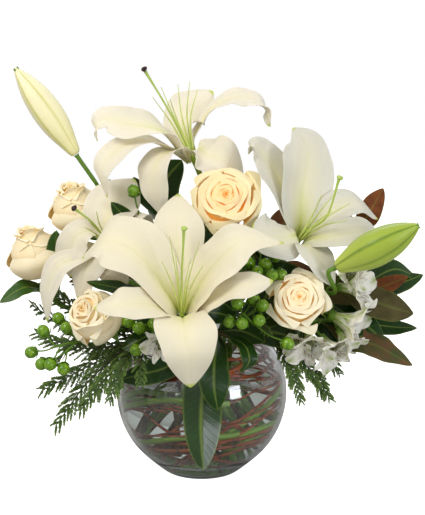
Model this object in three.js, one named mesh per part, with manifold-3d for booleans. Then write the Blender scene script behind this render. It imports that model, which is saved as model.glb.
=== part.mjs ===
// White lilies with cream roses, green berries, small striped lilies, cedar and magnolia foliage,
// arranged in a round glass bowl of water with coiled willow twigs.
// Millimetres, +Z up. The origin is the middle of the bowl's flat foot, and -Y faces the viewer.

import * as THREE from "three";
import { mergeVertices } from "three/addons/utils/BufferGeometryUtils.js";
import Module from "manifold-3d";

const wasm = await Module();
wasm.setup();
const { Manifold } = wasm;

// ---------------------------------------------------------------- driving dimensions

const GAP = 0.35; // between pieces that touch
const SEAM = 0.08; // seams shorter than this are closed up

const BOWL = {
  radius: 76, // outside of the glass ball, a 6 inch bowl
  glass: 3,
  centre: 74.5, // height of the ball's centre
  foot: 29, // radius of the flat foot
  floor: 6, // inner floor height
  mouth: 48, // outside radius of the rim
  heel: [[36, 2.6], [44, 9.3]], // how the glass rounds up from the foot to the ball
  ballFrom: 18, // height where the true ball starts
  sides: 22,
};
BOWL.inside = BOWL.radius - BOWL.glass;
BOWL.rim = BOWL.centre + Math.sqrt(BOWL.radius ** 2 - BOWL.mouth ** 2);

// The willow coils lie in a groove of the water, against the glass.
const WATER = { level: 88, bottom: 7.6, slack: 1.5, groove: 10, grooveFrom: 20, grooveTo: 80 };

// Stems stand in the bowl as straight lines that all lean round the same way, so none of them cross.
const STEMS = { neck: 134, twist: 110, spread: 1.45, drop: 104, wall: 17, lowest: 9 };

const LILY = { tube: 14, ring: 4.4, stem: 2.8, pistil: 1.3, filament: 0.6, budStalk: 1.9 };
const ROSE = { stem: 2.4, hip: 5.5, sepal: 15 };
const BERRY = { radius: 5.2, stalk: 0.7, stem: 1.6, step: 2.4 };
const SMALL_LILY = { reach: 17, tepal: 5.6, stalk: 1, stem: 1.7, step: 3 };

const PETAL = 0.8; // thickness of petals and leaves
const LEAF = 0.9;

// ---------------------------------------------------------------- materials

function finish(color, roughness, more = {}) {
  return new THREE.MeshStandardMaterial({ color, roughness, metalness: 0, ...more });
}

const CLEAR_GLASS = finish("#dfe8ea", 0.05, { transparent: true, opacity: 0.3 });
const CLEAR_WATER = finish("#c9d4cf", 0.05, { transparent: true, opacity: 0.3 });
const LILY_WHITE = finish("#f4efdd", 0.6);
const BUD_CREAM = finish("#efe9b5", 0.55);
const BUD_GREEN = finish("#b9cf5e", 0.55);
const ROSE_CREAM = finish("#f6e7c4", 0.65);
const STRIPED_WHITE = finish("#eeeade", 0.6);
const STEM_GREEN = finish("#5c8a34", 0.55);
const BERRY_GREEN = finish("#6fa21f", 0.35);
const CEDAR_GREEN = finish("#3f6b2c", 0.7);
const MAGNOLIA_GREEN = finish("#24431f", 0.3);
const WILLOW_BROWN = finish("#7a3a1e", 0.6);

// ---------------------------------------------------------------- small geometry tools

const DEGREE = Math.PI / 180;
const GOLDEN_ANGLE = 137.5 * DEGREE;
const V = (p) => new THREE.Vector3(...p);
const circle = (r, degrees, z) =>
  new THREE.Vector3(r * Math.cos(degrees * DEGREE), r * Math.sin(degrees * DEGREE), z);

// A closed three.js geometry as a solid that can be joined and cut.
function solid(geometry) {
  const bare = geometry.index ? geometry.toNonIndexed() : geometry.clone();
  bare.deleteAttribute("normal");
  bare.deleteAttribute("uv");
  const merged = mergeVertices(bare, 1e-4);
  return new Manifold(
    new wasm.Mesh({
      numProp: 3,
      vertProperties: merged.attributes.position.array,
      triVerts: new Uint32Array(merged.index.array),
    }),
  );
}

// Turns a solid's +Z to the way it faces, and moves it there.
function placed(made, origin, facing, spin = 0) {
  const up = new THREE.Vector3(0, 0, 1);
  const turn = new THREE.Quaternion().setFromUnitVectors(up, V(facing).normalize());
  turn.multiply(new THREE.Quaternion().setFromAxisAngle(up, spin * DEGREE));
  const matrix = new THREE.Matrix4().compose(V(origin), turn, new THREE.Vector3(1, 1, 1));
  return made.transform([...matrix.elements]);
}

const group = new THREE.Group();

// Joins the solids of one piece, drops scraps, and adds the piece to the group about its own origin.
function piece(name, parts, material, origin = [0, 0, 0]) {
  const bodies = Manifold.union(parts).decompose();
  const whole = bodies.reduce((a, b) => (a.volume() > b.volume() ? a : b));
  const data = whole.translate(origin.map((x) => -x)).simplify(SEAM).getMesh();
  const geometry = new THREE.BufferGeometry();
  geometry.setAttribute("position", new THREE.BufferAttribute(data.vertProperties, 3));
  geometry.setIndex(new THREE.BufferAttribute(data.triVerts, 1));
  const mesh = new THREE.Mesh(geometry, material);
  mesh.name = name;
  mesh.position.set(...origin);
  group.add(mesh);
}

// A curve whose rings fall on its own points, however unevenly those are spaced.
class Route extends THREE.CatmullRomCurve3 {
  getPointAt(u, target) {
    return this.getPoint(u, target);
  }

  getTangentAt(u, target) {
    return this.getTangent(u, target);
  }
}

function tube(points, radius, sides) {
  const section = new THREE.Shape();
  for (let i = 0; i < sides; i++) {
    const a = (2 * Math.PI * i) / sides;
    section[i ? "lineTo" : "moveTo"](radius * Math.cos(a), radius * Math.sin(a));
  }
  const extrudePath = new Route(points, false, "catmullrom", 0.5);
  const options = { steps: points.length - 1, extrudePath, bevelEnabled: false };
  return solid(new THREE.ExtrudeGeometry(section, options));
}

const twig = (points, radius, sides = 3) => tube(points.map(V), radius, sides);

function lathe(profile, sides) {
  const points = profile.map(([r, z]) => new THREE.Vector2(r, z));
  return solid(new THREE.LatheGeometry(points, sides).rotateX(Math.PI / 2));
}

const ball = (centre, radius, sides = 5, rings = 3) =>
  solid(new THREE.SphereGeometry(radius, sides, rings)).translate(centre);

const smooth = (points) => new THREE.CatmullRomCurve3(points.map(V), false, "centripetal");

// A closed sheet from its middle points and the triangles of its upper face. Both faces share one
// pattern of triangles, so they never cross. Each point holds its place and the way its face looks.
function sheet(points, triangles, thick) {
  const count = points.length;
  const positions = new Float32Array(count * 6);
  points.forEach(({ at, face }, k) => {
    const lift = face.clone().setLength(thick / 2);
    at.clone().add(lift).toArray(positions, k * 3);
    at.clone().sub(lift).toArray(positions, (count + k) * 3);
  });
  const faces = [];
  const edges = new Map();
  for (const [a, b, c] of triangles) {
    faces.push(a, b, c, count + a, count + c, count + b);
    [[a, b], [b, c], [c, a]].forEach(([from, to]) => {
      if (!edges.delete(`${to},${from}`)) edges.set(`${from},${to}`, [from, to]);
    });
  }
  for (const [a, b] of edges.values()) faces.push(a, count + b, b, a, count + a, count + b);
  const geometry = new THREE.BufferGeometry();
  geometry.setAttribute("position", new THREE.BufferAttribute(positions, 3));
  geometry.setIndex(faces);
  return solid(geometry);
}

// A blade over a grid. place(u, v) gives its middle surface for u from -1 to 1 and v from 0 to 1.
function blade(cols, rows, thick, place) {
  const points = [];
  const triangles = [];
  const step = 1e-3;
  for (let j = 0; j <= rows; j++) {
    for (let i = 0; i <= cols; i++) {
      const [u, v] = [(2 * i) / cols - 1, j / rows];
      const along = place(u, Math.min(v + step, 1)).sub(place(u, Math.max(v - step, 0)));
      const side = place(u + step, v).sub(place(u - step, v));
      points.push({ at: place(u, v), face: side.cross(along) });
      if (i === cols || j === rows) continue;
      const a = j * (cols + 1) + i;
      const [b, c, d] = [a + 1, a + cols + 2, a + cols + 1];
      triangles.push([a, b, c], [a, c, d]);
    }
  }
  return sheet(points, triangles, thick);
}

// The middle surface of a petal or leaf. It follows its rib, spreads to both sides of it, and its
// edges rise towards its inner face near the root and fall away near the tip.
function alongRib({ rib, inner, half, shape, cup = 0.25, turn = 0, wave = 0 }) {
  const curve = smooth(rib);
  const lean = V(rib[rib.length - 1]).add(V(rib[rib.length - 2])).multiplyScalar(0.5);
  const across = V(inner).cross(lean.sub(V(rib[0]))).normalize();
  return (u, v) => {
    const along = curve.getTangent(v);
    const side = across.clone().applyAxisAngle(along, turn * DEGREE * v);
    side.addScaledVector(along, -side.dot(along)).normalize();
    const face = along.clone().cross(side);
    const width = half * shape(v);
    const lift = cup * width * u * u * (1 - 1.3 * v) + wave * Math.sin(18 * v) * u ** 3;
    return curve.getPoint(v).addScaledVector(side, u * width).addScaledVector(face, lift);
  };
}

// A swelling from 0 to 1 and back, with its widest place at rise / (rise + fall).
const swelling = (v, rise, fall) => {
  const widest = rise / (rise + fall);
  return (v / widest) ** rise * ((1 - v) / (1 - widest)) ** fall;
};
const petalShape = (v) => 0.05 + 0.97 * swelling(v, 1.6, 0.9);
const leafShape = (v) => 0.07 + 0.94 * swelling(v, 1, 0.85);

// ---------------------------------------------------------------- stems

// The place of a stem at a height inside the bowl, from its place in the neck.
function inBowl(neck, z) {
  const t = (STEMS.neck - z) / STEMS.drop;
  const a = STEMS.twist * DEGREE;
  const c = [1 - t + t * STEMS.spread * Math.cos(a), t * STEMS.spread * Math.sin(a)];
  return new THREE.Vector3(neck.x * c[0] - neck.y * c[1], neck.x * c[1] + neck.y * c[0], z);
}

const insideRadius = (z) => Math.sqrt(Math.max(BOWL.inside ** 2 - (z - BOWL.centre) ** 2, 0));

const channels = []; // what the stems take out of the water

// The straight part of a stem, from its foot in the water to the neck at [radius, degrees].
function footing([radius, degrees], thickness) {
  const neck = circle(radius, degrees, STEMS.neck);
  let foot = STEMS.lowest;
  while (inBowl(neck, foot).setZ(0).length() > insideRadius(foot) - STEMS.wall) foot += 1;
  const points = [inBowl(neck, foot), neck];
  channels.push({ points, thickness });
  return points;
}

// A stem from its foot to the base of a head, arriving from behind the head.
function headStem(neck, base, facing, thickness, { bend = 0.38, straight = 9, steps = 3 } = {}) {
  const [foot, start] = footing(neck, thickness);
  const lean = start.clone().sub(foot).normalize();
  const back = V(facing).normalize();
  const end = base.clone().addScaledVector(back, -straight);
  const reach = start.distanceTo(end) * bend;
  const curve = new THREE.CubicBezierCurve3(
    start,
    start.clone().addScaledVector(lean, reach),
    end.clone().addScaledVector(back, -reach),
    end,
  );
  return [foot, ...curve.getPoints(steps), base];
}

// ---------------------------------------------------------------- the bowl, its water and the willow

function makeBowl() {
  const { radius, glass, inside, centre, foot, floor, mouth, rim, heel, ballFrom, sides } = BOWL;
  const arc = (r, low, high, count) => {
    const [from, to] = [low, high].map((z) => Math.asin((z - centre) / r));
    return Array.from({ length: count + 1 }, (_, i) => {
      const a = from + ((to - from) * i) / count;
      return [r * Math.cos(a), centre + r * Math.sin(a)];
    });
  };
  const outer = arc(radius, ballFrom, rim, 5);
  const inner = arc(inside, floor + 1, rim - 2.5, 6).reverse();
  const lip = [mouth - glass, rim];
  const profile = [[0, 0], [foot, 0], ...heel, ...outer, lip, ...inner, [0, floor]];
  piece("glass_bowl", [lathe(profile, sides)], CLEAR_GLASS);
}

function makeWater() {
  const { level, bottom, slack, groove, grooveFrom, grooveTo } = WATER;
  const wall = (z, away = 0) => [insideRadius(z) - slack - away, z];
  const inner = [0, 0.4, 1].map((t) => wall(grooveFrom + t * (grooveTo - grooveFrom), groove));
  const profile = [
    [0, bottom],
    wall(bottom),
    wall(grooveFrom),
    ...inner,
    wall(grooveTo),
    wall(level),
    [0, level],
  ];
  const holes = channels.map(({ points: [foot, neck], thickness }) => {
    const lean = neck.clone().sub(foot).normalize();
    const from = foot.clone().addScaledVector(lean, -GAP);
    return tube([from, neck], (thickness + GAP) / Math.cos(Math.PI / 5), 5);
  });
  const water = lathe(profile, BOWL.sides);
  piece("water", [water.subtract(Manifold.union(holes))], CLEAR_WATER);
}

// Willow twigs lie coiled round the inside of the glass: two below the water, one above it.
function makeWillow() {
  const coils = [
    { low: 28, high: 68, start: 190, turns: 1.1, radius: 1.6, away: 3.6, sway: 2, steps: 22 },
    { low: 42, high: 60, start: 40, turns: -1.1, radius: 1.4, away: 9, sway: 6, steps: 22 },
    { low: 93, high: 116, start: 150, turns: 0.8, radius: 1.4, away: 3.7, sway: 3, steps: 16 },
  ];
  coils.forEach(({ low, high, start, turns, radius, away, sway, steps }, n) => {
    const points = Array.from({ length: steps + 1 }, (_, i) => {
      const t = i / steps;
      const z = low + (high - low) * t + sway * Math.sin(9 * t + n);
      return circle(insideRadius(z) - away, start + 360 * turns * t, z);
    });
    piece(`willow_twig_${n + 1}`, [tube(points, radius, 3)], WILLOW_BROWN, points[0].toArray());
  });
}

// ---------------------------------------------------------------- lilies

// Each lily gives its throat, the way it faces, its place in the neck, its petals by their ribs beyond
// the throat, its pistil and the tips of its filaments. Broad and narrow petals take turns.
const LILIES = {
  front: {
    throat: [-16, -88, 165],
    facing: [-0.02, -0.74, 0.67],
    neck: [35, 261],
    petals: [
      { rib: [[-13, -118, 158], [-10, -131, 137], [-8, -120, 106]], half: 28 },
      { rib: [[-41, -108, 172], [-63, -120, 176], [-86, -118, 172]], half: 15 },
      { rib: [[-48, -98, 208], [-78, -94, 226], [-101, -84, 206]], half: 27 },
      { rib: [[-18, -84, 203], [-20, -76, 241], [-19, -60, 254]], half: 21 },
      { rib: [[9, -102, 197], [39, -102, 222], [68, -96, 221]], half: 25 },
      { rib: [[12, -106, 178], [34, -112, 188], [59, -108, 190]], half: 15 },
    ],
    pistil: [[-15, -112, 200], [-13, -126, 236]],
    filaments: [
      [-25, -112, 228],
      [-31, -118, 209],
      [-1, -114, 224],
      [2, -122, 206],
      [-20, -124, 215],
      [-8, -128, 212],
    ],
  },
  top: {
    throat: [-12, -14, 294],
    facing: [-0.4, -0.3, 0.86],
    neck: [4, 270],
    petals: [
      { rib: [[-35, -20, 314], [-71, -24, 325], [-89, -28, 301]], half: 17 },
      { rib: [[-44, -30, 306], [-79, -40, 295], [-86, -46, 252]], half: 16 },
      { rib: [[-31, -40, 294], [-48, -56, 277], [-42, -52, 242]], half: 17 },
      { rib: [[9, -14, 300], [28, -16, 296], [42, -12, 274]], half: 19 },
      { rib: [[10, 2, 327], [36, 2, 339], [61, -4, 311]], half: 14 },
      { rib: [[-17, 4, 316], [-10, 12, 341], [9, 18, 334]], half: 18 },
    ],
    pistil: [[-27, -30, 325], [-48, -40, 361]],
    filaments: [
      [-41, -44, 338],
      [-34, -34, 346],
      [-20, -22, 348],
      [-10, -12, 350],
      [-26, -48, 336],
      [-3, -22, 344],
    ],
  },
  right: {
    throat: [87, -48, 223],
    facing: [0.35, -0.65, 0.67],
    neck: [22, 345],
    petals: [
      { rib: [[88, -42, 259], [93, -32, 299], [78, -20, 308]], half: 20 },
      { rib: [[70, -40, 251], [55, -34, 284], [40, -42, 293]], half: 14 },
      { rib: [[70, -66, 232], [60, -70, 224], [60, -66, 204]], half: 16 },
      { rib: [[93, -66, 209], [104, -72, 199], [113, -66, 184]], half: 13 },
      { rib: [[115, -60, 228], [137, -56, 229], [154, -50, 217]], half: 15 },
      { rib: [[112, -40, 246], [137, -32, 253], [152, -26, 236]], half: 14 },
    ],
    pistil: [[104, -74, 239], [114, -84, 273]],
    filaments: [
      [101, -70, 258],
      [124, -74, 251],
      [121, -86, 238],
      [108, -90, 246],
      [96, -84, 250],
      [113, -66, 260],
    ],
    bud: {
      fork: 3,
      stalk: [[94, -36, 174], [113, -62, 174]],
      base: [111.8, -88.4, 199.3],
      tip: [178, -100, 236],
      radius: 15,
      material: BUD_GREEN,
    },
  },
  left: {
    throat: [-80, -40, 214],
    facing: [-0.6, -0.5, 0.62],
    neck: [22, 205],
    petals: [
      { rib: [[-77, -30, 239], [-70, -18, 259], [-58, -4, 264]], half: 17 },
      { rib: [[-64, -28, 230], [-50, -18, 238], [-38, -10, 224]], half: 14 },
      { rib: [[-75, -58, 202], [-68, -64, 192], [-61, -60, 176]], half: 13 },
      { rib: [[-94, -56, 199], [-104, -60, 190], [-107, -52, 176]], half: 11 },
      { rib: [[-103, -52, 206], [-128, -56, 187], [-132, -50, 147]], half: 12 },
      { rib: [[-97, -42, 223], [-114, -38, 230], [-124, -38, 220]], half: 12 },
    ],
    pistil: [[-92, -56, 233], [-106, -66, 246]],
    filaments: [
      [-98, -60, 240],
      [-97, -72, 231],
      [-88, -60, 243],
      [-91, -74, 224],
    ],
    bud: {
      fork: 3,
      stalk: [[-72, -2, 222], [-86, -8, 252]],
      base: [-108, -22, 288],
      tip: [-159, -24, 362],
      radius: 12.5,
      material: BUD_CREAM,
    },
  },
};

function makeLily(name, { throat, facing, petals, pistil, filaments, neck, bud }) {
  const axis = V(facing).normalize();
  const middle = V(throat);
  const base = middle.clone().addScaledVector(axis, -LILY.tube);
  const blades = petals.map(({ rib, half }, i) => {
    const out = V(rib[0]).sub(middle);
    out.addScaledVector(axis, -out.dot(axis)).normalize();
    const behind = i % 2; // the narrow petals sit outside the broad ones
    const root = base.clone().addScaledVector(out, LILY.ring + behind).addScaledVector(axis, 1);
    const flare = middle.clone().addScaledVector(out, 8 + 2 * behind).addScaledVector(axis, -3 * behind);
    const points = [root.toArray(), flare.toArray(), ...rib];
    const place = alongRib({ rib: points, inner: facing, half, shape: petalShape, cup: 0.45 });
    return blade(half > 22 ? 3 : 2, half > 18 ? 6 : 5, PETAL, place);
  });
  const [hole, wall] = [(LILY.stem + GAP + 0.2) / Math.cos(Math.PI / 6), LILY.ring + 2.2];
  const ring = lathe([[hole, 0], [wall, 0], [wall, 3], [hole, 3], [hole, 0]], 6);
  const petalRing = placed(ring, base.toArray(), facing);
  piece(`lily_${name}_petals`, [petalRing, ...blades], LILY_WHITE, throat);

  const heart = base.clone().addScaledVector(axis, 6);
  const style = smooth([heart.toArray(), throat, ...pistil]).getPoints(3);
  const threads = filaments.map((tip) => {
    const out = V(tip).sub(middle);
    out.addScaledVector(axis, -out.dot(axis)).normalize();
    const root = heart.clone().addScaledVector(out, 1.7).addScaledVector(axis, -0.8);
    const belly = middle.clone().lerp(V(tip), 0.45).addScaledVector(axis, 3);
    return tube([root, belly, V(tip)], LILY.filament, 3);
  });
  const stem = headStem(neck, heart, facing, LILY.stem);
  const stigma = ball(pistil[pistil.length - 1], 2.8);
  const green = [tube(stem, LILY.stem, 5), tube(style, LILY.pistil, 3), stigma, ...threads];
  if (bud) {
    const along = V(bud.tip).sub(V(bud.base)).normalize();
    const ends = [7, GAP].map((back) => V(bud.base).addScaledVector(along, -back));
    green.push(tube([stem[bud.fork], ...bud.stalk.map(V), ...ends], LILY.budStalk, 4));
    makeBud(`lily_bud_${name}`, bud);
  }
  piece(`lily_${name}_stem`, green, STEM_GREEN, throat);
}

// A closed bud with three low ridges where its outer petals meet.
function makeBud(name, { base, tip, radius, material }) {
  const axis = V(tip).sub(V(base));
  const rows = [0.3, 0.62, 0.88, 1, 0.98, 0.84, 0.55, 0.14];
  const length = axis.length();
  const profile = rows.map((r, i) => [radius * r, (length * i) / (rows.length - 1)]);
  const made = lathe([[0, 0], ...profile, [0, length]], 9).warp((p) => {
    const ridge = 1 + 0.06 * Math.cos(3 * Math.atan2(p[1], p[0]));
    p[0] *= ridge;
    p[1] *= ridge;
  });
  piece(name, [placed(made, base, axis.toArray())], material);
}

// ---------------------------------------------------------------- roses

const ROSES = {
  high: { centre: [24, -54, 251], facing: [-0.02, -0.9, 0.42], neck: [22, 296], radius: 30 },
  right: { centre: [80, -80, 169], facing: [0.08, -0.88, 0.45], neck: [36, 316], radius: 27 },
  far_left: {
    centre: [-147, -12, 203],
    facing: [-0.35, -0.3, 0.88],
    neck: [36, 180],
    radius: 25,
    open: 0.2,
    leaves: [{ from: 4, rib: [[-154, -22, 172], [-175, -30, 160]], half: 8 }],
  },
  upper_left: {
    centre: [-113, -2, 242],
    facing: [-0.35, -0.35, 0.86],
    neck: [22, 178],
    radius: 23,
    open: 0.3,
    leaves: [
      { from: 4, rib: [[-110, -14, 212], [-119, -22, 200]], half: 7 },
      { from: 3, rib: [[-84, 30, 206], [-88, 52, 200]], half: 9, inner: [0, 0.5, 0.8] },
    ],
  },
  low_left: { centre: [-92, -74, 157], facing: [-0.35, -0.85, 0.4], neck: [36, 214], radius: 25 },
};

// How a petal runs from root to edge, as shares of the rose's radius and height. Petals further out
// open wider, and on an open rose their edges roll back.
function rosePetal(share, open, turn, radius, height) {
  const mix = (a, b, t = share) => a + (b - a) * t;
  const run = new THREE.SplineCurve([
    new THREE.Vector2(mix(0.1, 0.14), mix(0.2, 0.02)),
    new THREE.Vector2(mix(0.36, 0.84), mix(0.45, 0.24)),
    new THREE.Vector2(mix(0.34, 0.98), mix(0.85, 0.6)),
    new THREE.Vector2(mix(0.24, mix(0.84, 1.08, open)), mix(1, mix(0.94, 0.74, open))),
  ]);
  const span = mix(80, 54) * DEGREE;
  return (u, v) => {
    const { x, y } = run.getPoint(v);
    const spread = span * (0.4 + 0.6 * Math.min(1, 2 * v));
    const fall = 1 - 0.14 * u * u * v;
    const a = turn + u * spread;
    return new THREE.Vector3(radius * x * Math.cos(a), radius * x * Math.sin(a), height * y * fall);
  };
}

function makeRose(name, { centre, facing, neck, radius, open = 1, leaves = [] }) {
  const height = radius * (1.9 - 0.55 * open);
  const axis = V(facing).normalize();
  const base = V(centre).addScaledVector(axis, -height * 0.52);
  const petals = [0.12, 0.38, 0.62, 0.82, 0.92, 1];
  const core = [[0, 0], [0.24, 0], [0.38, 0.4], [0.2, 0.94], [0, 0.9]];
  const heart = lathe(core.map(([r, z]) => [r * radius, z * height]), 5);
  const blades = petals.map((share, i) =>
    blade(3, share < 0.8 ? 2 : 3, PETAL + 0.1, rosePetal(share, open, i * GOLDEN_ANGLE, radius, height)),
  );
  const head = placed(Manifold.union([heart, ...blades]), base.toArray(), facing);
  piece(`rose_${name}_petals`, [head], ROSE_CREAM, centre);

  const hip = lathe([[0, -9], [ROSE.hip, -6], [4, -1.6], [0, -1.6]], 6);
  const star = Array.from({ length: 10 }, (_, i) => {
    const tip = i % 2;
    return { at: circle(tip ? ROSE.sepal : 4.6, 36 * i, tip ? -7 : -1.6), face: V([0, 0, 1]) };
  });
  star.push({ at: V([0, 0, -1.2]), face: V([0, 0, 1]) });
  const sepals = sheet(star, star.slice(1).map((_, i) => [10, i, (i + 1) % 10]), PETAL);
  const calyx = placed(hip.add(sepals), base.toArray(), facing);
  const under = base.clone().addScaledVector(axis, -8);
  const route = headStem(neck, under, facing, ROSE.stem, { straight: 4 });
  const grown = leaves.map(({ from, rib, ...rest }) =>
    leaf({ rib: [route[from].toArray(), ...rib], ...rest }),
  );
  piece(`rose_${name}_stem`, [tube(route, ROSE.stem, 5), calyx, ...grown], STEM_GREEN, centre);
}

// ---------------------------------------------------------------- leaves and fronds

// A leaf along its rib, with its upper face towards `inner`.
function leaf({ rib, half, inner = [0, -0.7, 0.7], wave = 0 }) {
  const place = alongRib({ rib, inner, half, shape: leafShape, cup: 0.3, wave });
  return blade(2, rib.length > 3 || wave ? 5 : 3, LEAF, place);
}

// A woody stem with its foot in the water, and leaves that start at its wood.
function leafyStem(name, neck, route, leaves, thickness = 1.8) {
  const stem = tube([...footing(neck, thickness), ...route.map(V)], thickness, 4);
  piece(name, [stem, ...leaves.map(leaf)], MAGNOLIA_GREEN, route[0]);
}

// A flat cedar frond: leaning side shoots all along both edges of a thin rib.
function frond(rib, inner, reach, rows = 9) {
  const curve = smooth(rib);
  const across = V(inner).cross(V(rib[rib.length - 1]).sub(V(rib[0]))).normalize();
  const points = [];
  const triangles = [];
  const frame = (t) => {
    const along = curve.getTangent(t);
    const side = across.clone().addScaledVector(along, -across.dot(along)).normalize();
    return { at: curve.getPoint(t), along, side, face: side.clone().cross(along) };
  };
  for (let j = 0; j <= rows; j++) {
    const { at, side, face } = frame(j / rows);
    const half = 1.1 * (1 - (0.5 * j) / rows);
    for (const s of [-1, 1]) points.push({ at: at.clone().addScaledVector(side, s * half), face });
  }
  for (let j = 0; j < rows; j++) {
    const a = 2 * j;
    triangles.push([a, a + 1, a + 3], [a, a + 3, a + 2]);
    const { at, along, side, face } = frame((j + 0.5) / rows);
    const shoot = reach * swelling(0.15 + (0.75 * j) / rows, 0.6, 0.8);
    for (const s of [-1, 1]) {
      const long = shoot * (s > 0 ? 1 : 0.88);
      const tip = at.clone().addScaledVector(side, 0.75 * s * long).addScaledVector(along, 0.8 * long);
      points.push({ at: tip, face });
      const k = points.length - 1;
      triangles.push(s > 0 ? [a + 1, k, a + 3] : [a, a + 2, k]);
    }
  }
  return sheet(points, triangles, LEAF);
}

function cedarBranch(name, neck, route, fronds) {
  const stem = tube([...footing(neck, 1.8), ...route.map(V)], 1.8, 4);
  const blades = fronds.map(({ rib, inner = [0, -0.8, 0.6], reach = 14, rows }) =>
    frond(rib, inner, reach, rows),
  );
  piece(name, [stem, ...blades], CEDAR_GREEN, route[0]);
}

// ---------------------------------------------------------------- berries and small lilies

// A spray of berries. Each fork carries its berries on thin stalks, and grows from the stem's end.
function berrySpray(name, neck, route, forks) {
  const [before, root] = route.slice(-2);
  const parts = [tube([...footing(neck, BERRY.stem), ...route.map(V)], BERRY.stem, 3)];
  forks.forEach(({ at = root, berries }) => {
    const back = V(at === root ? before : root).sub(V(at)).setLength(BERRY.step);
    if (at !== root) parts.push(twig([root, at], 1.1));
    berries.forEach((berry, i) => {
      const start = V(at).addScaledVector(back, i + 0.3);
      parts.push(tube([start, V(berry)], BERRY.stalk, 3), ball(berry, BERRY.radius));
    });
  });
  piece(name, parts, BERRY_GREEN, root);
}

// A small lily: six tepals that open from a short cone.
function smallLily(name, at, facing, spin = 0, size = 1) {
  const { reach, tepal } = SMALL_LILY;
  const cone = lathe([[0, 0], [2.6, 0], [3.4, 5], [0, 5]], 6);
  const tepals = Array.from({ length: 6 }, (_, i) => {
    const behind = i % 2; // the outer three stand a little behind the inner three
    const far = reach * (behind ? 1 : 0.94);
    const low = 2.6 - 1.4 * behind;
    const rib = [[2, 0, low], [0.5 * far, 0, 0.6 * far - 2 * behind], [1.05 * far, 0, 0.95 * far]];
    const shape = (v) => 0.15 + 0.85 * swelling(v, 1.5, 0.6);
    const place = alongRib({ rib, inner: [0, 0, 1], half: tepal * (behind ? 1 : 0.85), shape });
    return blade(1, 2, PETAL, place).rotate([0, 0, 60 * i]);
  });
  const bloom = Manifold.union([cone, ...tepals]).scale([size, size, size]);
  piece(name, [placed(bloom, at, facing, spin)], STRIPED_WHITE, at);
}

// The small lilies of one stem, each on its own stalk.
function smallLilies(name, neck, route, blooms) {
  const [before, root] = route.slice(-2);
  const parts = [tube([...footing(neck, SMALL_LILY.stem), ...route.map(V)], SMALL_LILY.stem, 4)];
  const down = V(before).sub(V(root)).setLength(SMALL_LILY.step);
  blooms.forEach(({ base, facing, spin, size }, i) => {
    const back = V(facing).normalize();
    const end = V(base).addScaledVector(back, -GAP);
    const start = V(root).addScaledVector(down, i + 0.3);
    parts.push(tube([start, end.clone().addScaledVector(back, -7), end], SMALL_LILY.stalk, 3));
    smallLily(`${name}_bloom_${i + 1}`, base, facing, spin, size);
  });
  piece(`${name}_stem`, parts, STEM_GREEN, root);
}

// ---------------------------------------------------------------- the arrangement

for (const [name, lily] of Object.entries(LILIES)) makeLily(name, lily);
for (const [name, rose] of Object.entries(ROSES)) makeRose(name, rose);

leafyStem("magnolia_right", [36, 8], [[62, -6, 152], [98, -22, 162], [136, -34, 176]], [
  { rib: [[136, -34, 176], [162, -26, 193], [195, -20, 183]], half: 12, inner: [0, -0.6, 0.8] },
  { rib: [[130, -31, 174], [156, -36, 186], [184, -34, 181]], half: 10, inner: [0, -0.9, 0.4] },
  { rib: [[122, -29, 171], [150, -40, 166], [184, -42, 151]], half: 15, inner: [0, -0.6, 0.8] },
  { rib: [[112, -26, 167], [150, -26, 152], [187, -28, 138]], half: 11, inner: [0, -0.5, 0.9] },
  { rib: [[98, -22, 162], [142, -50, 134], [181, -52, 109]], half: 12, wave: 2 },
]);
leafyStem("magnolia_upper", [24, 20], [[44, 6, 170], [86, -2, 200], [134, -18, 219]], [
  { rib: [[134, -18, 219], [145, -20, 238], [157, -16, 257]], half: 9 },
  { rib: [[110, -11, 210], [122, 0, 232], [126, 8, 254]], half: 10 },
]);
leafyStem("magnolia_front", [36, 284], [[11, -43, 136.5], [14, -54, 138]], [
  { rib: [[14, -54, 138], [8, -82, 121], [3, -88, 74], [2, -78, 27]], half: 15 },
  { rib: [[13, -51, 137.5], [27, -70, 132], [33, -80, 108], [23, -82, 86]], half: 9 },
  { rib: [[11, -43, 136.5], [-14, -60, 134], [-40, -67, 118], [-56, -62, 96]], half: 9 },
  { rib: [[12, -47, 137], [34, -60, 137], [52, -74, 124]], half: 7 },
]);
leafyStem("magnolia_middle", [12, 200], [[-16, -4, 180], [-34, 2, 236]], [
  { rib: [[-34, 2, 236], [-32, -14, 258], [-14, -30, 266]], half: 12 },
  { rib: [[-31, 1, 228], [-50, 6, 248], [-60, 4, 266]], half: 8 },
  { rib: [[-24, 0, 208], [-40, 22, 226], [-46, 40, 250]], half: 14, inner: [0, 0.6, 0.8] },
]);
leafyStem("magnolia_back_left", [34, 142], [[-44, 36, 160], [-62, 52, 186]], [
  { rib: [[-62, 52, 186], [-82, 62, 214], [-104, 64, 228]], half: 15, inner: [0, 0.5, 0.8] },
  { rib: [[-60, 50, 183], [-58, 76, 206], [-64, 100, 214]], half: 14, inner: [0, 0.2, 1] },
  { rib: [[-54, 45, 174], [-88, 50, 176], [-122, 46, 166]], half: 14, inner: [0, 0.4, 0.9] },
  { rib: [[-49, 40, 167], [-60, 72, 164], [-66, 100, 146]], half: 14, inner: [0, 0.3, 0.9] },
]);
leafyStem("magnolia_back_right", [34, 48], [[44, 40, 160], [60, 54, 190]], [
  { rib: [[60, 54, 190], [76, 52, 222], [98, 42, 246]], half: 14, inner: [0, 0.6, 0.8] },
  { rib: [[58, 52, 186], [56, 78, 208], [60, 104, 214]], half: 14, inner: [0, 0.2, 1] },
  { rib: [[53, 48, 177], [88, 44, 178], [122, 36, 164]], half: 14, inner: [0, 0.4, 0.9] },
  { rib: [[48, 43, 168], [66, 72, 164], [74, 100, 142]], half: 14, inner: [0, 0.3, 0.9] },
]);

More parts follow.
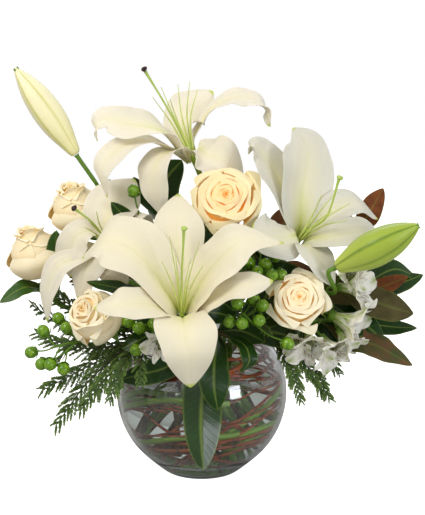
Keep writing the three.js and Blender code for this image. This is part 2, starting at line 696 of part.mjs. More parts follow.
berrySpray("hypericum_left", [36, 197], [[-62, -24, 138], [-106, -52, 130]], [
  { berries: [[-122, -52, 150], [-114, -64, 144]] },
  { at: [-124, -64, 128], berries: [[-134, -62, 141], [-145, -60, 122], [-127, -76, 115]] },
  { at: [-116, -60, 122], berries: [[-135, -70, 114], [-116, -76, 111]] },
]);
berrySpray("hypericum_front", [36, 246], [[-24, -48, 143], [-44, -68, 144]], [
  { berries: [[-52, -80, 147], [-61, -78, 152], [-40, -74, 149], [-54, -84, 129]] },
]);
berrySpray("hypericum_right_high", [22, 318], [[26, -26, 160], [46, -54, 188]], [
  { berries: [[29, -70, 199], [40, -66, 201], [38, -82, 190]] },
  { at: [54, -56, 192], berries: [[48, -76, 196], [53, -58, 213], [64, -56, 200]] },
]);
berrySpray("hypericum_right_low", [36, 300], [[24, -44, 142], [36, -76, 158]], [
  { berries: [[30, -98, 171], [25, -94, 155], [35, -102, 154], [46, -84, 173]] },
  { at: [44, -80, 150], berries: [[48, -100, 158], [72, -98, 136]] },
]);
berrySpray("hypericum_back", [34, 95], [[-2, 50, 162], [-6, 66, 190]], [
  { berries: [[-18, 72, 204], [2, 76, 208], [-8, 86, 196]] },
  { at: [6, 60, 180], berries: [[18, 72, 192], [14, 80, 178]] },
]);

smallLilies("alstroemeria_right", [36, 345], [[62, -24, 144], [112, -52, 148]], [
  { base: [134, -60, 167], facing: [0.3, -0.7, 0.6] },
  { base: [126, -70, 146], facing: [0.3, -0.9, 0.1], spin: 20 },
  { base: [112, -76, 125], facing: [0.1, -1, -0.2], spin: 10 },
  { base: [90, -64, 130], facing: [-0.1, -1, -0.2], spin: 40, size: 0.9 },
  { base: [152, -50, 186], facing: [0.5, -0.5, 0.6], spin: 30, size: 0.9 },
]);
smallLilies("alstroemeria_front", [24, 240], [[-20, -38, 150], [-28, -62, 146]], [
  { base: [-31, -82, 137], facing: [-0.2, -1, -0.1], size: 0.85 },
]);

cedarBranch("cedar_left", [36, 230], [[-32, -40, 139], [-62, -58, 128]], [
  { rib: [[-62, -58, 128], [-96, -66, 98], [-124, -70, 60]], rows: 7, reach: 17 },
  { rib: [[-56, -54, 130], [-98, -54, 106], [-134, -56, 88]], rows: 7, reach: 16 },
  { rib: [[-50, -51, 132], [-78, -78, 106], [-99, -90, 80]], rows: 6 },
  { rib: [[-46, -48, 134], [-66, -80, 114], [-76, -94, 90]], rows: 5 },
]);
cedarBranch("cedar_right", [36, 331], [[48, -32, 139], [66, -52, 126]], [
  { rib: [[66, -52, 126], [76, -76, 112], [84, -90, 86]], rows: 6, reach: 13 },
  { rib: [[61, -46, 130], [92, -60, 108], [108, -68, 84]], rows: 6, reach: 13 },
  { rib: [[56, -41, 133], [98, -44, 122], [120, -44, 100]], rows: 6, reach: 13 },
]);
cedarBranch("cedar_back", [36, 72], [[18, 48, 140], [24, 62, 136]], [
  { rib: [[24, 62, 136], [30, 92, 122], [34, 112, 96]], rows: 6, inner: [0, 0.6, 0.8] },
  { rib: [[22, 57, 137], [-6, 88, 128], [-30, 108, 106]], rows: 6, inner: [0, 0.6, 0.8] },
  { rib: [[20, 53, 139], [64, 78, 128], [96, 84, 106]], rows: 6, inner: [0, 0.6, 0.8], reach: 16 },
]);
cedarBranch("cedar_back_left", [34, 164], [[-60, 18, 141], [-84, 28, 138]], [
  { rib: [[-84, 28, 138], [-112, 22, 120], [-134, 12, 96]], rows: 6, inner: [0, 0.3, 0.9] },
  { rib: [[-78, 25, 139], [-92, 52, 118], [-102, 68, 90]], rows: 6, inner: [0, 0.6, 0.8] },
  { rib: [[-72, 23, 139], [-114, -6, 134], [-147, -42, 160]], rows: 7 },
]);

makeWillow();
makeWater();
makeBowl();

export default group;
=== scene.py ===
"""White lilies, roses, berries and foliage in a round glass bowl of water, at their finished look.

Shapes are worked out in millimetres and turned to metres where a mesh is made. +Z is up, the
origin is the middle of the bowl's flat foot, and -Y faces the viewer.
"""

from __future__ import annotations

import functools
import logging
import math
from collections.abc import Callable, Sequence
from dataclasses import dataclass, field
from enum import Enum

import bpy
import numpy as np
from mathutils import Matrix, Quaternion, Vector

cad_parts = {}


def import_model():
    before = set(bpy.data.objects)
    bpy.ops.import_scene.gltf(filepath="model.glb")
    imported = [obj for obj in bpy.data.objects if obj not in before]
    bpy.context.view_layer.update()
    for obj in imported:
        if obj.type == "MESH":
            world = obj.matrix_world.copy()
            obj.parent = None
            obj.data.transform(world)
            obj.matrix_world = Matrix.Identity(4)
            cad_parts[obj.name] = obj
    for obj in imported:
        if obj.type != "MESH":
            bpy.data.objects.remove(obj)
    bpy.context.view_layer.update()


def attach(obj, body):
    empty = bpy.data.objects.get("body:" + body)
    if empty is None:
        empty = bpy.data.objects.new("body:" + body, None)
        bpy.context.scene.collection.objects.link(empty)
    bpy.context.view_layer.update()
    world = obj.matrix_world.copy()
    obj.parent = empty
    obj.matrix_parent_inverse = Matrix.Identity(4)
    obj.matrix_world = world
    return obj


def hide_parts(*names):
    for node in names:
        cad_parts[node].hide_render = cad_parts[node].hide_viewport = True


LOG = logging.getLogger("lilies")

MM = 0.001
BODY = "root"
GOLDEN_ANGLE = math.radians(137.5)
SHARP_ANGLE = math.radians(50)
WAVE_PERIOD = 2 * math.pi / 20  # a wave texture's period at scale 1
WATER_LEVEL = 88
UP = (0.0, 0.0, 1.0)
FORWARD = (0.0, -0.7, 0.7)  # where most leaves turn their upper faces
TO_VIEWER = (0.0, -0.95, 0.3)
BACK = (0.0, 0.5, 0.85)  # where the leaves of the far side look

Array = np.ndarray
Point = tuple[float, float, float]
Polar = tuple[float, float]
Socket = bpy.types.NodeSocket


# ---- colours and nodes


def linear(code: str) -> tuple[float, float, float, float]:
    """Turns an sRGB hex colour into the linear values that shaders take.

    Args:
        code: The colour, such as "#F4EFDD".

    Returns:
        Red, green, blue and alpha.
    """
    parts = [int(code[k : k + 2], 16) / 255 for k in (1, 3, 5)]
    red, green, blue = (c / 12.92 if c <= 0.04045 else ((c + 0.055) / 1.055) ** 2.4 for c in parts)
    return red, green, blue, 1.0


class Palette:
    """Adds a material's nodes, and gives what the points of a piece are painted with."""

    def __init__(self, tree: bpy.types.NodeTree) -> None:
        """Keeps the material's node tree."""
        self.tree = tree

    def add(
        self, kind: str, inputs: dict | None = None, out: int | str | None = 0, **settings: object
    ) -> Socket | bpy.types.NodeOutputs | None:
        """Adds a shader node with its settings and links.

        Args:
            kind: The node's type, without its "ShaderNode" prefix.
            inputs: Plain values or other nodes' sockets, by the input's name or number.
            out: The output to give, or None for all of them.
            **settings: The node's own properties.

        Returns:
            The asked output, if the node has any.
        """
        made = self.tree.nodes.new("ShaderNode" + kind)
        for name, value in settings.items():
            setattr(made, name, value)
        for name, value in (inputs or {}).items():
            if isinstance(value, Socket):
                self.tree.links.new(value, made.inputs[name])
            else:
                made.inputs[name].default_value = value
        if not made.outputs:
            return None
        return made.outputs if out is None else made.outputs[out]

    @functools.cached_property
    def flat(self) -> Socket:
        """The place on the flattened surface, in millimetres."""
        return self.add("Attribute", out="Vector", attribute_name="flat")

    @functools.cached_property
    def marks(self) -> bpy.types.NodeOutputs:
        """The two painting values and the side of the sheet."""
        tint = self.add("Attribute", out="Vector", attribute_name="tint")
        return self.add("SeparateXYZ", {0: tint}, out=None)


@dataclass(frozen=True)
class Finish:
    """A surface finish. Its material is made once, however many pieces wear it."""

    name: str

    @functools.cache
    def material(self) -> bpy.types.Material:
        """Makes the material at the first call, and gives the same one after that.

        Returns:
            The material.
        """
        made = bpy.data.materials.new(self.name)
        made.use_nodes = True
        made.node_tree.nodes.clear()
        palette = Palette(made.node_tree)
        palette.add("OutputMaterial", {"Surface": self.paint(palette)})
        return made

    def paint(self, on: Palette) -> Socket:
        """Adds the finish's nodes and gives its shader."""
        raise NotImplementedError


@dataclass(frozen=True)
class FreshPetal(Finish):
    """Living petal: a matt waxy skin of tiny cells over soft flesh that light soaks into.

    The eye sees fine lengthwise veins, a faint glow in the shade and no hard highlight. tint is
    the colour where the first painting value is 1, such as a green throat, and flush where the
    second is.
    """

    body: str = "#F1E7CC"
    tint: str = "#C2D24A"
    flush: str = "#F6EDB8"
    vein_mm: float = 2.2  # drawn coarser than life, to show in the render
    vein_tone: float = 0.985
    roughness: float = 0.5
    glow: float = 0.3
    painted_glow: float = 0.0  # painted glow: an emission in the tint colour, most where it is tinted, in place of light through a full bloom's layers
    vein_depth_mm: float = 0.09
    cell_mm: float = 0.5

    def paint(self, on: Palette) -> Socket:
        """Adds the petal's nodes and gives its shader.

        Args:
            on: The material's palette.

        Returns:
            The shader.
        """
        first, second, _ = on.marks
        lines = {"Vector": on.flat, "Distortion": 1.0, "Detail": 2.0, "Detail Scale": 0.5}
        lines["Scale"] = WAVE_PERIOD / self.vein_mm
        veins = on.add("TexWave", lines, "Fac", bands_direction="X")
        cells = on.add("TexNoise", {"Vector": on.flat, "Scale": 1 / self.cell_mm, "Detail": 2.0})
        cloud = on.add("TexNoise", {"Vector": on.flat, "Scale": 0.09, "Detail": 3.0})
        ragged = on.add("Math", {0: cloud, 1: 0.7, 2: 0.65}, operation="MULTIPLY_ADD")
        edge = on.add("Math", {0: first, 1: ragged}, operation="MULTIPLY", use_clamp=True)
        colours = {0: second, 6: linear(self.body), 7: linear(self.flush)}
        flushed = on.add("Mix", colours, 2, data_type="RGBA")
        tinted = on.add("Mix", {0: edge, 6: flushed, 7: linear(self.tint)}, 2, data_type="RGBA")
        faint = on.add("MapRange", {0: veins, 3: self.vein_tone, 4: 1.0})
        shade = on.add("VectorMath", {0: tinted, "Scale": faint}, operation="SCALE")
        relief = on.add("Math", {0: cells, 1: 0.3, 2: veins}, operation="MULTIPLY_ADD")
        depth = {"Height": relief, "Strength": 0.6, "Distance": self.vein_depth_mm * MM}
        skin = {
            "Base Color": shade,
            "Roughness": self.roughness,
            "IOR": 1.4,
            "Subsurface Weight": self.glow,
            "Subsurface Radius": (1.0, 0.9, 0.7),
            "Subsurface Scale": 0.002,
            "Sheen Weight": 0.1,
            "Sheen Roughness": 0.5,
            "Normal": on.add("Bump", depth),
        }
        # Painted glow: the petal emits its tint colour, most where it is tinted, in place of light
        # shining through the petals.
        if self.painted_glow:
            through = {0: edge, 1: self.painted_glow, 2: self.painted_glow * 0.1}
            skin["Emission Strength"] = on.add("Math", through, operation="MULTIPLY_ADD")
            skin["Emission Color"] = linear(self.tint)
        return on.add("BsdfPrincipled", skin)


@dataclass(frozen=True)
class BroadLeaf(Finish):
    """Leathery evergreen leaf: a thick polished skin above, felted rust-brown or dull green below.

    The eye sees a deep green mirror with a pale rib and a thin yellow margin, side veins as
    shallow furrows, and a matt underside.
    """

    upper: str = "#132C09"
    upper_light: str = "#244A13"
    under: str = "#6A4426"
    under_light: str = "#8A5A32"
    rib: str = "#7F9440"
    vein_mm: float = 6.0
    vein_tone: float = 0.04
    gloss: float = 0.32
    matt: float = 0.8
    ior: float = 1.36

    def paint(self, on: Palette) -> Socket:
        """Adds the leaf's nodes and gives its shader.

        Args:
            on: The material's palette.

        Returns:
            The shader.
        """
        first, _, side = on.marks
        across, along, _ = on.add("SeparateXYZ", {0: on.flat}, out=None)
        above = on.add("MapRange", {0: side, 1: -1.0, 2: 1.0})
        away = on.add("Math", {0: across}, operation="ABSOLUTE")
        slant = on.add("Math", {0: away, 1: -0.75, 2: along}, operation="MULTIPLY_ADD")
        lines = {"Vector": on.add("CombineXYZ", {"X": slant, "Y": away}), "Detail Scale": 0.4}
        lines |= {"Scale": WAVE_PERIOD / self.vein_mm, "Distortion": 1.5, "Detail": 1.0}
        veins = on.add("TexWave", lines, "Fac", bands_direction="X")
        thin = on.add("Math", {0: veins, 1: 7.0}, operation="POWER")
        cloud = on.add("TexNoise", {"Vector": on.flat, "Scale": 0.07, "Detail": 4.0})
        grain = on.add("TexNoise", {"Vector": on.flat, "Scale": 1.6, "Detail": 3.0})
        greens = {0: cloud, 6: linear(self.upper), 7: linear(self.upper_light)}
        green = on.add("Mix", greens, 2, data_type="RGBA")
        share = {0: thin, 1: self.vein_tone, 2: first}
        ribs = on.add("Math", share, operation="MULTIPLY_ADD", use_clamp=True)
        ribbed = on.add("Mix", {0: ribs, 6: green, 7: linear(self.rib)}, 2, data_type="RGBA")
        patch = on.add("MapRange", {0: cloud, 1: 0.35, 2: 0.65})
        browns = {0: patch, 6: linear(self.under), 7: linear(self.under_light)}
        brown = on.add("Mix", browns, 2, data_type="RGBA")
        felt = on.add("MapRange", {0: grain, 1: 0.3, 2: 0.7, 3: 0.75, 4: 1.2})
        felted = on.add("VectorMath", {0: brown, "Scale": felt}, operation="SCALE")
        faint = on.add("Math", {0: first, 1: 0.4}, operation="MULTIPLY")
        below = on.add("Mix", {0: faint, 6: felted, 7: linear(self.rib)}, 2, data_type="RGBA")
        relief = on.add("Math", {0: thin, 1: -1.0, 2: grain}, operation="MULTIPLY_ADD")
        skin = {
            "Base Color": on.add("Mix", {0: above, 6: below, 7: ribbed}, 2, data_type="RGBA"),
            "Roughness": on.add("MapRange", {0: above, 3: self.matt, 4: self.gloss}),
            "IOR": self.ior,
            "Specular IOR Level": 0.45,
            "Normal": on.add("Bump", {"Height": relief, "Strength": 0.5, "Distance": 0.12 * MM}),
        }
        return on.add("BsdfPrincipled", skin)


@dataclass(frozen=True)
class FreshStem(Finish):
    """Smooth green stem: a thin cuticle over lengthwise fibres, with a satin shine.

    tint is the colour where the first painting value is 1, and flush where the second is.
    """

    body: str = "#648C2A"
    tint: str = "#9CBC40"
    flush: str = "#34120C"
    fibre_mm: float = 0.7
    roughness: float = 0.4

    def paint(self, on: Palette) -> Socket:
        """Adds the stem's nodes and gives its shader.

        Args:
            on: The material's palette.

        Returns:
            The shader.
        """
        first, second, _ = on.marks
        drawn = on.add("VectorMath", {0: on.flat, 1: (1.0, 0.08, 1.0)}, operation="MULTIPLY")
        fibres = on.add("TexNoise", {"Vector": drawn, "Scale": 1 / self.fibre_mm, "Detail": 3.0})
        colours = {0: first, 6: linear(self.body), 7: linear(self.tint)}
        tinted = on.add("Mix", colours, 2, data_type="RGBA")
        flushed = on.add("Mix", {0: second, 6: tinted, 7: linear(self.flush)}, 2, data_type="RGBA")
        lively = on.add("MapRange", {0: fibres, 1: 0.3, 2: 0.7, 3: 0.8, 4: 1.15})
        skin = {
            "Base Color": on.add("VectorMath", {0: flushed, "Scale": lively}, operation="SCALE"),
            "Roughness": self.roughness,
            "IOR": 1.42,
            "Normal": on.add("Bump", {"Height": fibres, "Strength": 0.4, "Distance": 0.15 * MM}),
        }
        return on.add("BsdfPrincipled", skin)


@dataclass(frozen=True)
class BerrySkin(Finish):
    """Ripe berry skin: taut, bright and polished, with a small dark scar at the tip."""

    body: str = "#4F7F0E"
    light: str = "#86B022"
    scar: str = "#2A2410"
    roughness: float = 0.25

    def paint(self, on: Palette) -> Socket:
        """Adds the berry's nodes and gives its shader.

        Args:
            on: The material's palette.

        Returns:
            The shader.
        """
        first, _, _ = on.marks
        mottle = on.add("TexNoise", {"Vector": on.flat, "Scale": 0.22, "Detail": 3.0})
        patch = on.add("MapRange", {0: mottle, 1: 0.35, 2: 0.65})
        colours = {0: patch, 6: linear(self.body), 7: linear(self.light)}
        skin_tone = on.add("Mix", colours, 2, data_type="RGBA")
        pores = on.add("TexNoise", {"Vector": on.flat, "Scale": 2.2, "Detail": 2.0})
        marked = {0: first, 6: skin_tone, 7: linear(self.scar)}
        skin = {
            "Base Color": on.add("Mix", marked, 2, data_type="RGBA"),
            "Roughness": self.roughness,
            "IOR": 1.45,
            "Subsurface Weight": 0.1,
            "Subsurface Radius": (0.6, 1.0, 0.2),
            "Subsurface Scale": 0.003,
            "Coat Weight": 0.3,
            "Coat Roughness": 0.1,
            "Normal": on.add("Bump", {"Height": pores, "Strength": 0.25, "Distance": 0.1 * MM}),
        }
        return on.add("BsdfPrincipled", skin)


@dataclass(frozen=True)
class ScaleLeaf(Finish):
    """Cedar shoots: tiny overlapping scale leaves, matt and waxy, yellower at the young tips."""

    body: str = "#26461A"
    young: str = "#8FB04E"
    bark: str = "#54401F"
    scale_mm: float = 1.3
    roughness: float = 0.6

    def paint(self, on: Palette) -> Socket:
        """Adds the shoots' nodes and gives their shader.

        Args:
            on: The material's palette.

        Returns:
            The shader.
        """
        first, second, _ = on.marks
        tiles = {"Vector": on.flat, "Scale": 1 / self.scale_mm}
        scales = on.add("TexVoronoi", tiles, "Distance")
        colours = {0: first, 6: linear(self.body), 7: linear(self.young)}
        aged = on.add("Mix", colours, 2, data_type="RGBA")
        woody = on.add("Mix", {0: second, 6: aged, 7: linear(self.bark)}, 2, data_type="RGBA")
        # Each scale is painted lighter in its middle and darker where it meets its neighbours:
        # painted light and shade over the overlapping scales.
        rows = on.add("MapRange", {0: scales, 1: 0.0, 2: 0.7, 3: 1.15, 4: 0.7})
        relief = {"Height": scales, "Strength": 0.6, "Distance": 0.3 * MM}
        skin = {
            "Base Color": on.add("VectorMath", {0: woody, "Scale": rows}, operation="SCALE"),
            "Roughness": self.roughness,
            "IOR": 1.45,
            "Normal": on.add("Bump", relief, invert=True),
        }
        return on.add("BsdfPrincipled", skin)


@dataclass(frozen=True)
class TwigBark(Finish):
    """Young willow bark: smooth, thin and red-brown, with darker joints and a wet satin shine."""

    body: str = "#64200C"
    light: str = "#BE5A1C"
    joint: str = "#2C140C"
    roughness: float = 0.42

    def paint(self, on: Palette) -> Socket:
        """Adds the bark's nodes and gives its shader.

        Args:
            on: The material's palette.

        Returns:
            The shader.
        """
        first, _, _ = on.marks
        drawn = on.add("VectorMath", {0: on.flat, 1: (1.0, 0.12, 1.0)}, operation="MULTIPLY")
        streaks = on.add("TexNoise", {"Vector": drawn, "Scale": 0.9, "Detail": 5.0})
        spread = on.add("MapRange", {0: streaks, 1: 0.3, 2: 0.7})
        colours = {0: spread, 6: linear(self.body), 7: linear(self.light)}
        bark = on.add("Mix", colours, 2, data_type="RGBA")
        jointed = {0: first, 6: bark, 7: linear(self.joint)}
        skin = {
            "Base Color": on.add("Mix", jointed, 2, data_type="RGBA"),
            "Roughness": self.roughness,
            "IOR": 1.45,
            "Normal": on.add("Bump", {"Height": streaks, "Strength": 0.5, "Distance": 0.25 * MM}),
        }
        return on.add("BsdfPrincipled", skin)


@dataclass(frozen=True)
class ClearBody(Finish):
    """Clear blown glass or still water: nearly colourless, it bends what is seen through it.

    Lamps shine through it, so that what is inside is lit as in the real bowl.
    """

    colour: str = "#F1F5F4"
    ior: float = 1.5
    ripple_mm: float = 30.0
    ripple: float = 0.02

    def paint(self, on: Palette) -> Socket:
        """Adds the clear body's nodes and gives its shader.

        Args:
            on: The material's palette.

        Returns:
            The shader.
        """
        waves = on.add("TexNoise", {"Vector": on.flat, "Scale": 1 / self.ripple_mm, "Detail": 0.0})
        relief = {"Height": waves, "Strength": self.ripple, "Distance": 10 * MM}
        body = {
            "Base Color": linear(self.colour),
            "Roughness": 0.0,
            "IOR": self.ior,
            "Transmission Weight": 1.0,
            "Normal": on.add("Bump", relief),
        }
        lamps = on.add("BsdfTransparent", {"Color": linear(self.colour)})
        path = on.add("LightPath", out="Is Shadow Ray")
        return on.add("MixShader", {0: path, 1: on.add("BsdfPrincipled", body), 2: lamps})


@dataclass(frozen=True)
class StudioPaper(Finish):
    """Matt pale studio paper under the bowl, lit for the viewer so that it shows white."""

    body: str = "#ADADAB"
    lit: float = 2.7

    def paint(self, on: Palette) -> Socket:
        """Adds the paper's nodes and gives its shader.

        Args:
            on: The material's palette.

        Returns:
            The shader.
        """
        seen = on.add("LightPath", out="Is Camera Ray")
        pale = linear(self.body)
        paper = {"Base Color": pale, "Roughness": 0.9, "Emission Color": pale}
        paper["Emission Strength"] = on.add("MapRange", {0: seen, 4: self.lit})
        return on.add("BsdfPrincipled", paper)


LILY_CREAM = FreshPetal("lily_petal_cream")
# A darker, greyer copy of the cream petal for the right lily: painted shade.
LILY_PAINTED_SHADE = FreshPetal("lily_petal_painted_shade", "#DDDACA", vein_tone=0.975)
LILY_IVORY = FreshPetal("lily_petal_ivory", "#F4EBD6", vein_tone=0.98)
BUD_CREAM = FreshPetal("bud_skin_cream", "#FFF6CC", "#BFC53A", "#F2EDA0", 2.2, 0.97, 0.42)
BUD_GREEN = FreshPetal("bud_skin_green", "#A6BC40", "#487414", "#CBD764", 2.2, 0.98, 0.36)
# Both rose skins are given a painted glow: they emit their tint colour, most in the heart and
# towards the petal bases.
ROSE_APRICOT = FreshPetal(
    "rose_petal_apricot", "#FFF3C4", "#FFB238", "#F0E8A8", vein_tone=0.99, glow=0.06, painted_glow=0.22
)
ROSE_IVORY = FreshPetal(
    "rose_petal_ivory", "#FFF8DA", "#FFC860", "#EAE6B0", vein_tone=0.99, glow=0.06, painted_glow=0.15
)
STRIPED = FreshPetal("striped_petal", "#FFFCEA", "#6A1A28", "#8CA648", 1.3, 0.96, glow=0.5)
STEM = FreshStem("fresh_stem")
PISTIL = FreshStem("pistil_and_filament", "#D2E07E", "#9CC042", "#2C0D0E")
ROSE_LEAF = BroadLeaf("rose_leaf", "#2A4A1A", "#3F6A26", "#4E6A38", gloss=0.4)
MAGNOLIA = BroadLeaf("magnolia_leaf")
MAGNOLIA_WAXED = BroadLeaf("magnolia_leaf_waxed", gloss=0.3, ior=1.55)
MAGNOLIA_RUST = BroadLeaf("magnolia_leaf_rust", under="#5E3218", under_light="#82481F")
MAGNOLIA_OLIVE = BroadLeaf("magnolia_leaf_olive", under="#45401F", under_light="#5A5230")
MAGNOLIA_MIXED = BroadLeaf("magnolia_leaf_mixed", under="#45502A", under_light="#6A4C30")
WOOD = TwigBark("leafy_twig_bark", "#4A3A22", "#6A5A34", "#2C2416")
BERRY = BerrySkin("berry_skin")
CEDAR = ScaleLeaf("cedar_scale_leaf")
BARK = TwigBark("willow_bark")
GLASS = ClearBody("clear_blown_glass")
WATER = ClearBody("still_water", "#FAFCFA", 1.33, 60.0, 0.0)


# ---- lines and pieces


def unit(vectors: Array) -> Array:
    """Gives the vectors at length 1."""
    vectors = np.asarray(vectors, float)
    return vectors / np.maximum(np.linalg.norm(vectors, axis=-1, keepdims=True), 1e-12)


def swelling(v: Array, rise: float, fall: float) -> Array:
    """Gives a swelling from 0 to 1 and back, widest where v is rise / (rise + fall)."""
    widest = rise / (rise + fall)
    return (v / widest) ** rise * ((1 - v) / (1 - widest)) ** fall


def bell(x: Array, width: float) -> Array:
    """A smooth bump of height 1 at 0, and of the given half-width."""
    return np.exp(-((np.asarray(x, float) / width) ** 2))


def ramp(x: Array, start: float, end: float) -> Array:
    """A ramp that goes from 0 at its start to 1 at its end, and is level beyond them."""
    return np.clip((np.asarray(x, float) - start) / (end - start), 0, 1)


def run(path: Array) -> Array:
    """Gives how far along a path each of its points lies."""
    return np.cumsum(np.linalg.norm(np.diff(path, axis=0, prepend=path[:1]), axis=1))


def painted(first: Array, second: Array | float = 0.0) -> Array:
    """Gives points their two painting values."""
    return np.stack(np.broadcast_arrays(first, second), -1).astype(float)


def grid(rows: int, cols: int) -> tuple[Array, Array]:
    """Gives the places of a blade's points across it, from -1 to 1, and along it, from 0 to 1."""
    return np.meshgrid(np.linspace(-1, 1, cols), np.linspace(0, 1, rows))


def level(degrees: float) -> Array:
    """Gives the level way at an angle."""
    return np.array([math.cos(math.radians(degrees)), math.sin(math.radians(degrees)), 0])


class Line:
    """A smooth line through points, swept evenly over its stretches from 0 to 1."""

    def __init__(self, knots: Sequence[Sequence[float]]) -> None:
        """Keeps the points that the line passes through."""
        self.knots = np.asarray(knots, float)

    def at(self, share: Array | float) -> Array:
        """Gives the line's points at shares of its way, as a centripetal spline.

        Args:
            share: One share or many, from 0 to 1.

        Returns:
            A row for each point.
        """
        knots = self.knots
        stretches = len(knots) - 1
        place = np.clip(np.atleast_1d(np.asarray(share, float)), 0, 1) * stretches
        i = np.minimum(place.astype(int), stretches - 1)
        w = (place - i)[:, None]
        ends = np.vstack([2 * knots[:1] - knots[1:2], knots, 2 * knots[-1:] - knots[-2:-1]])
        a, b, c, d = (ends[i + k] for k in range(4))
        before, here, after = (
            np.sqrt(np.maximum(np.linalg.norm(q - p, axis=1), 1e-6))[:, None]
            for p, q in ((a, b), (b, c), (c, d))
        )
        leave = ((b - a) / before - (c - a) / (before + here) + (c - b) / here) * here
        reach = ((c - b) / here - (d - b) / (here + after) + (d - c) / after) * here
        second, third = 3 * (c - b) - 2 * leave - reach, 2 * (b - c) + leave + reach
        return b + leave * w + second * w**2 + third * w**3

    def sweep(self, count: int) -> Array:
        """Gives so many points of the line, from end to end."""
        return self.at(np.linspace(0, 1, count))

    def along(self, share: Array | float) -> Array:
        """Gives the line's directions at shares of its way."""
        share = np.atleast_1d(np.asarray(share, float))
        return unit(self.at(np.clip(share + 1e-4, 0, 1)) - self.at(np.clip(share - 1e-4, 0, 1)))


def smoothed(profile: Sequence[Polar], count: int) -> Array:
    """Gives a profile of radius and height as a smooth line of so many points."""
    return Line([(r, z, 0) for r, z in profile]).sweep(count)[:, :2]


@dataclass(frozen=True)
class Pose:
    """Where a head stands: its origin, and the way that its own +Z faces."""

    origin: Point
    facing: Point = UP
    spin: float = 0.0

    def apply(self, points: Array) -> Array:
        """Moves points of the head's own frame to their place in the arrangement.

        Args:
            points: The points.

        Returns:
            The same points, moved.
        """
        turn = Vector(UP).rotation_difference(Vector(self.facing))
        turn = turn @ Quaternion(UP, math.radians(self.spin))
        return points @ np.array(turn.to_matrix()).T + np.asarray(self.origin, float)


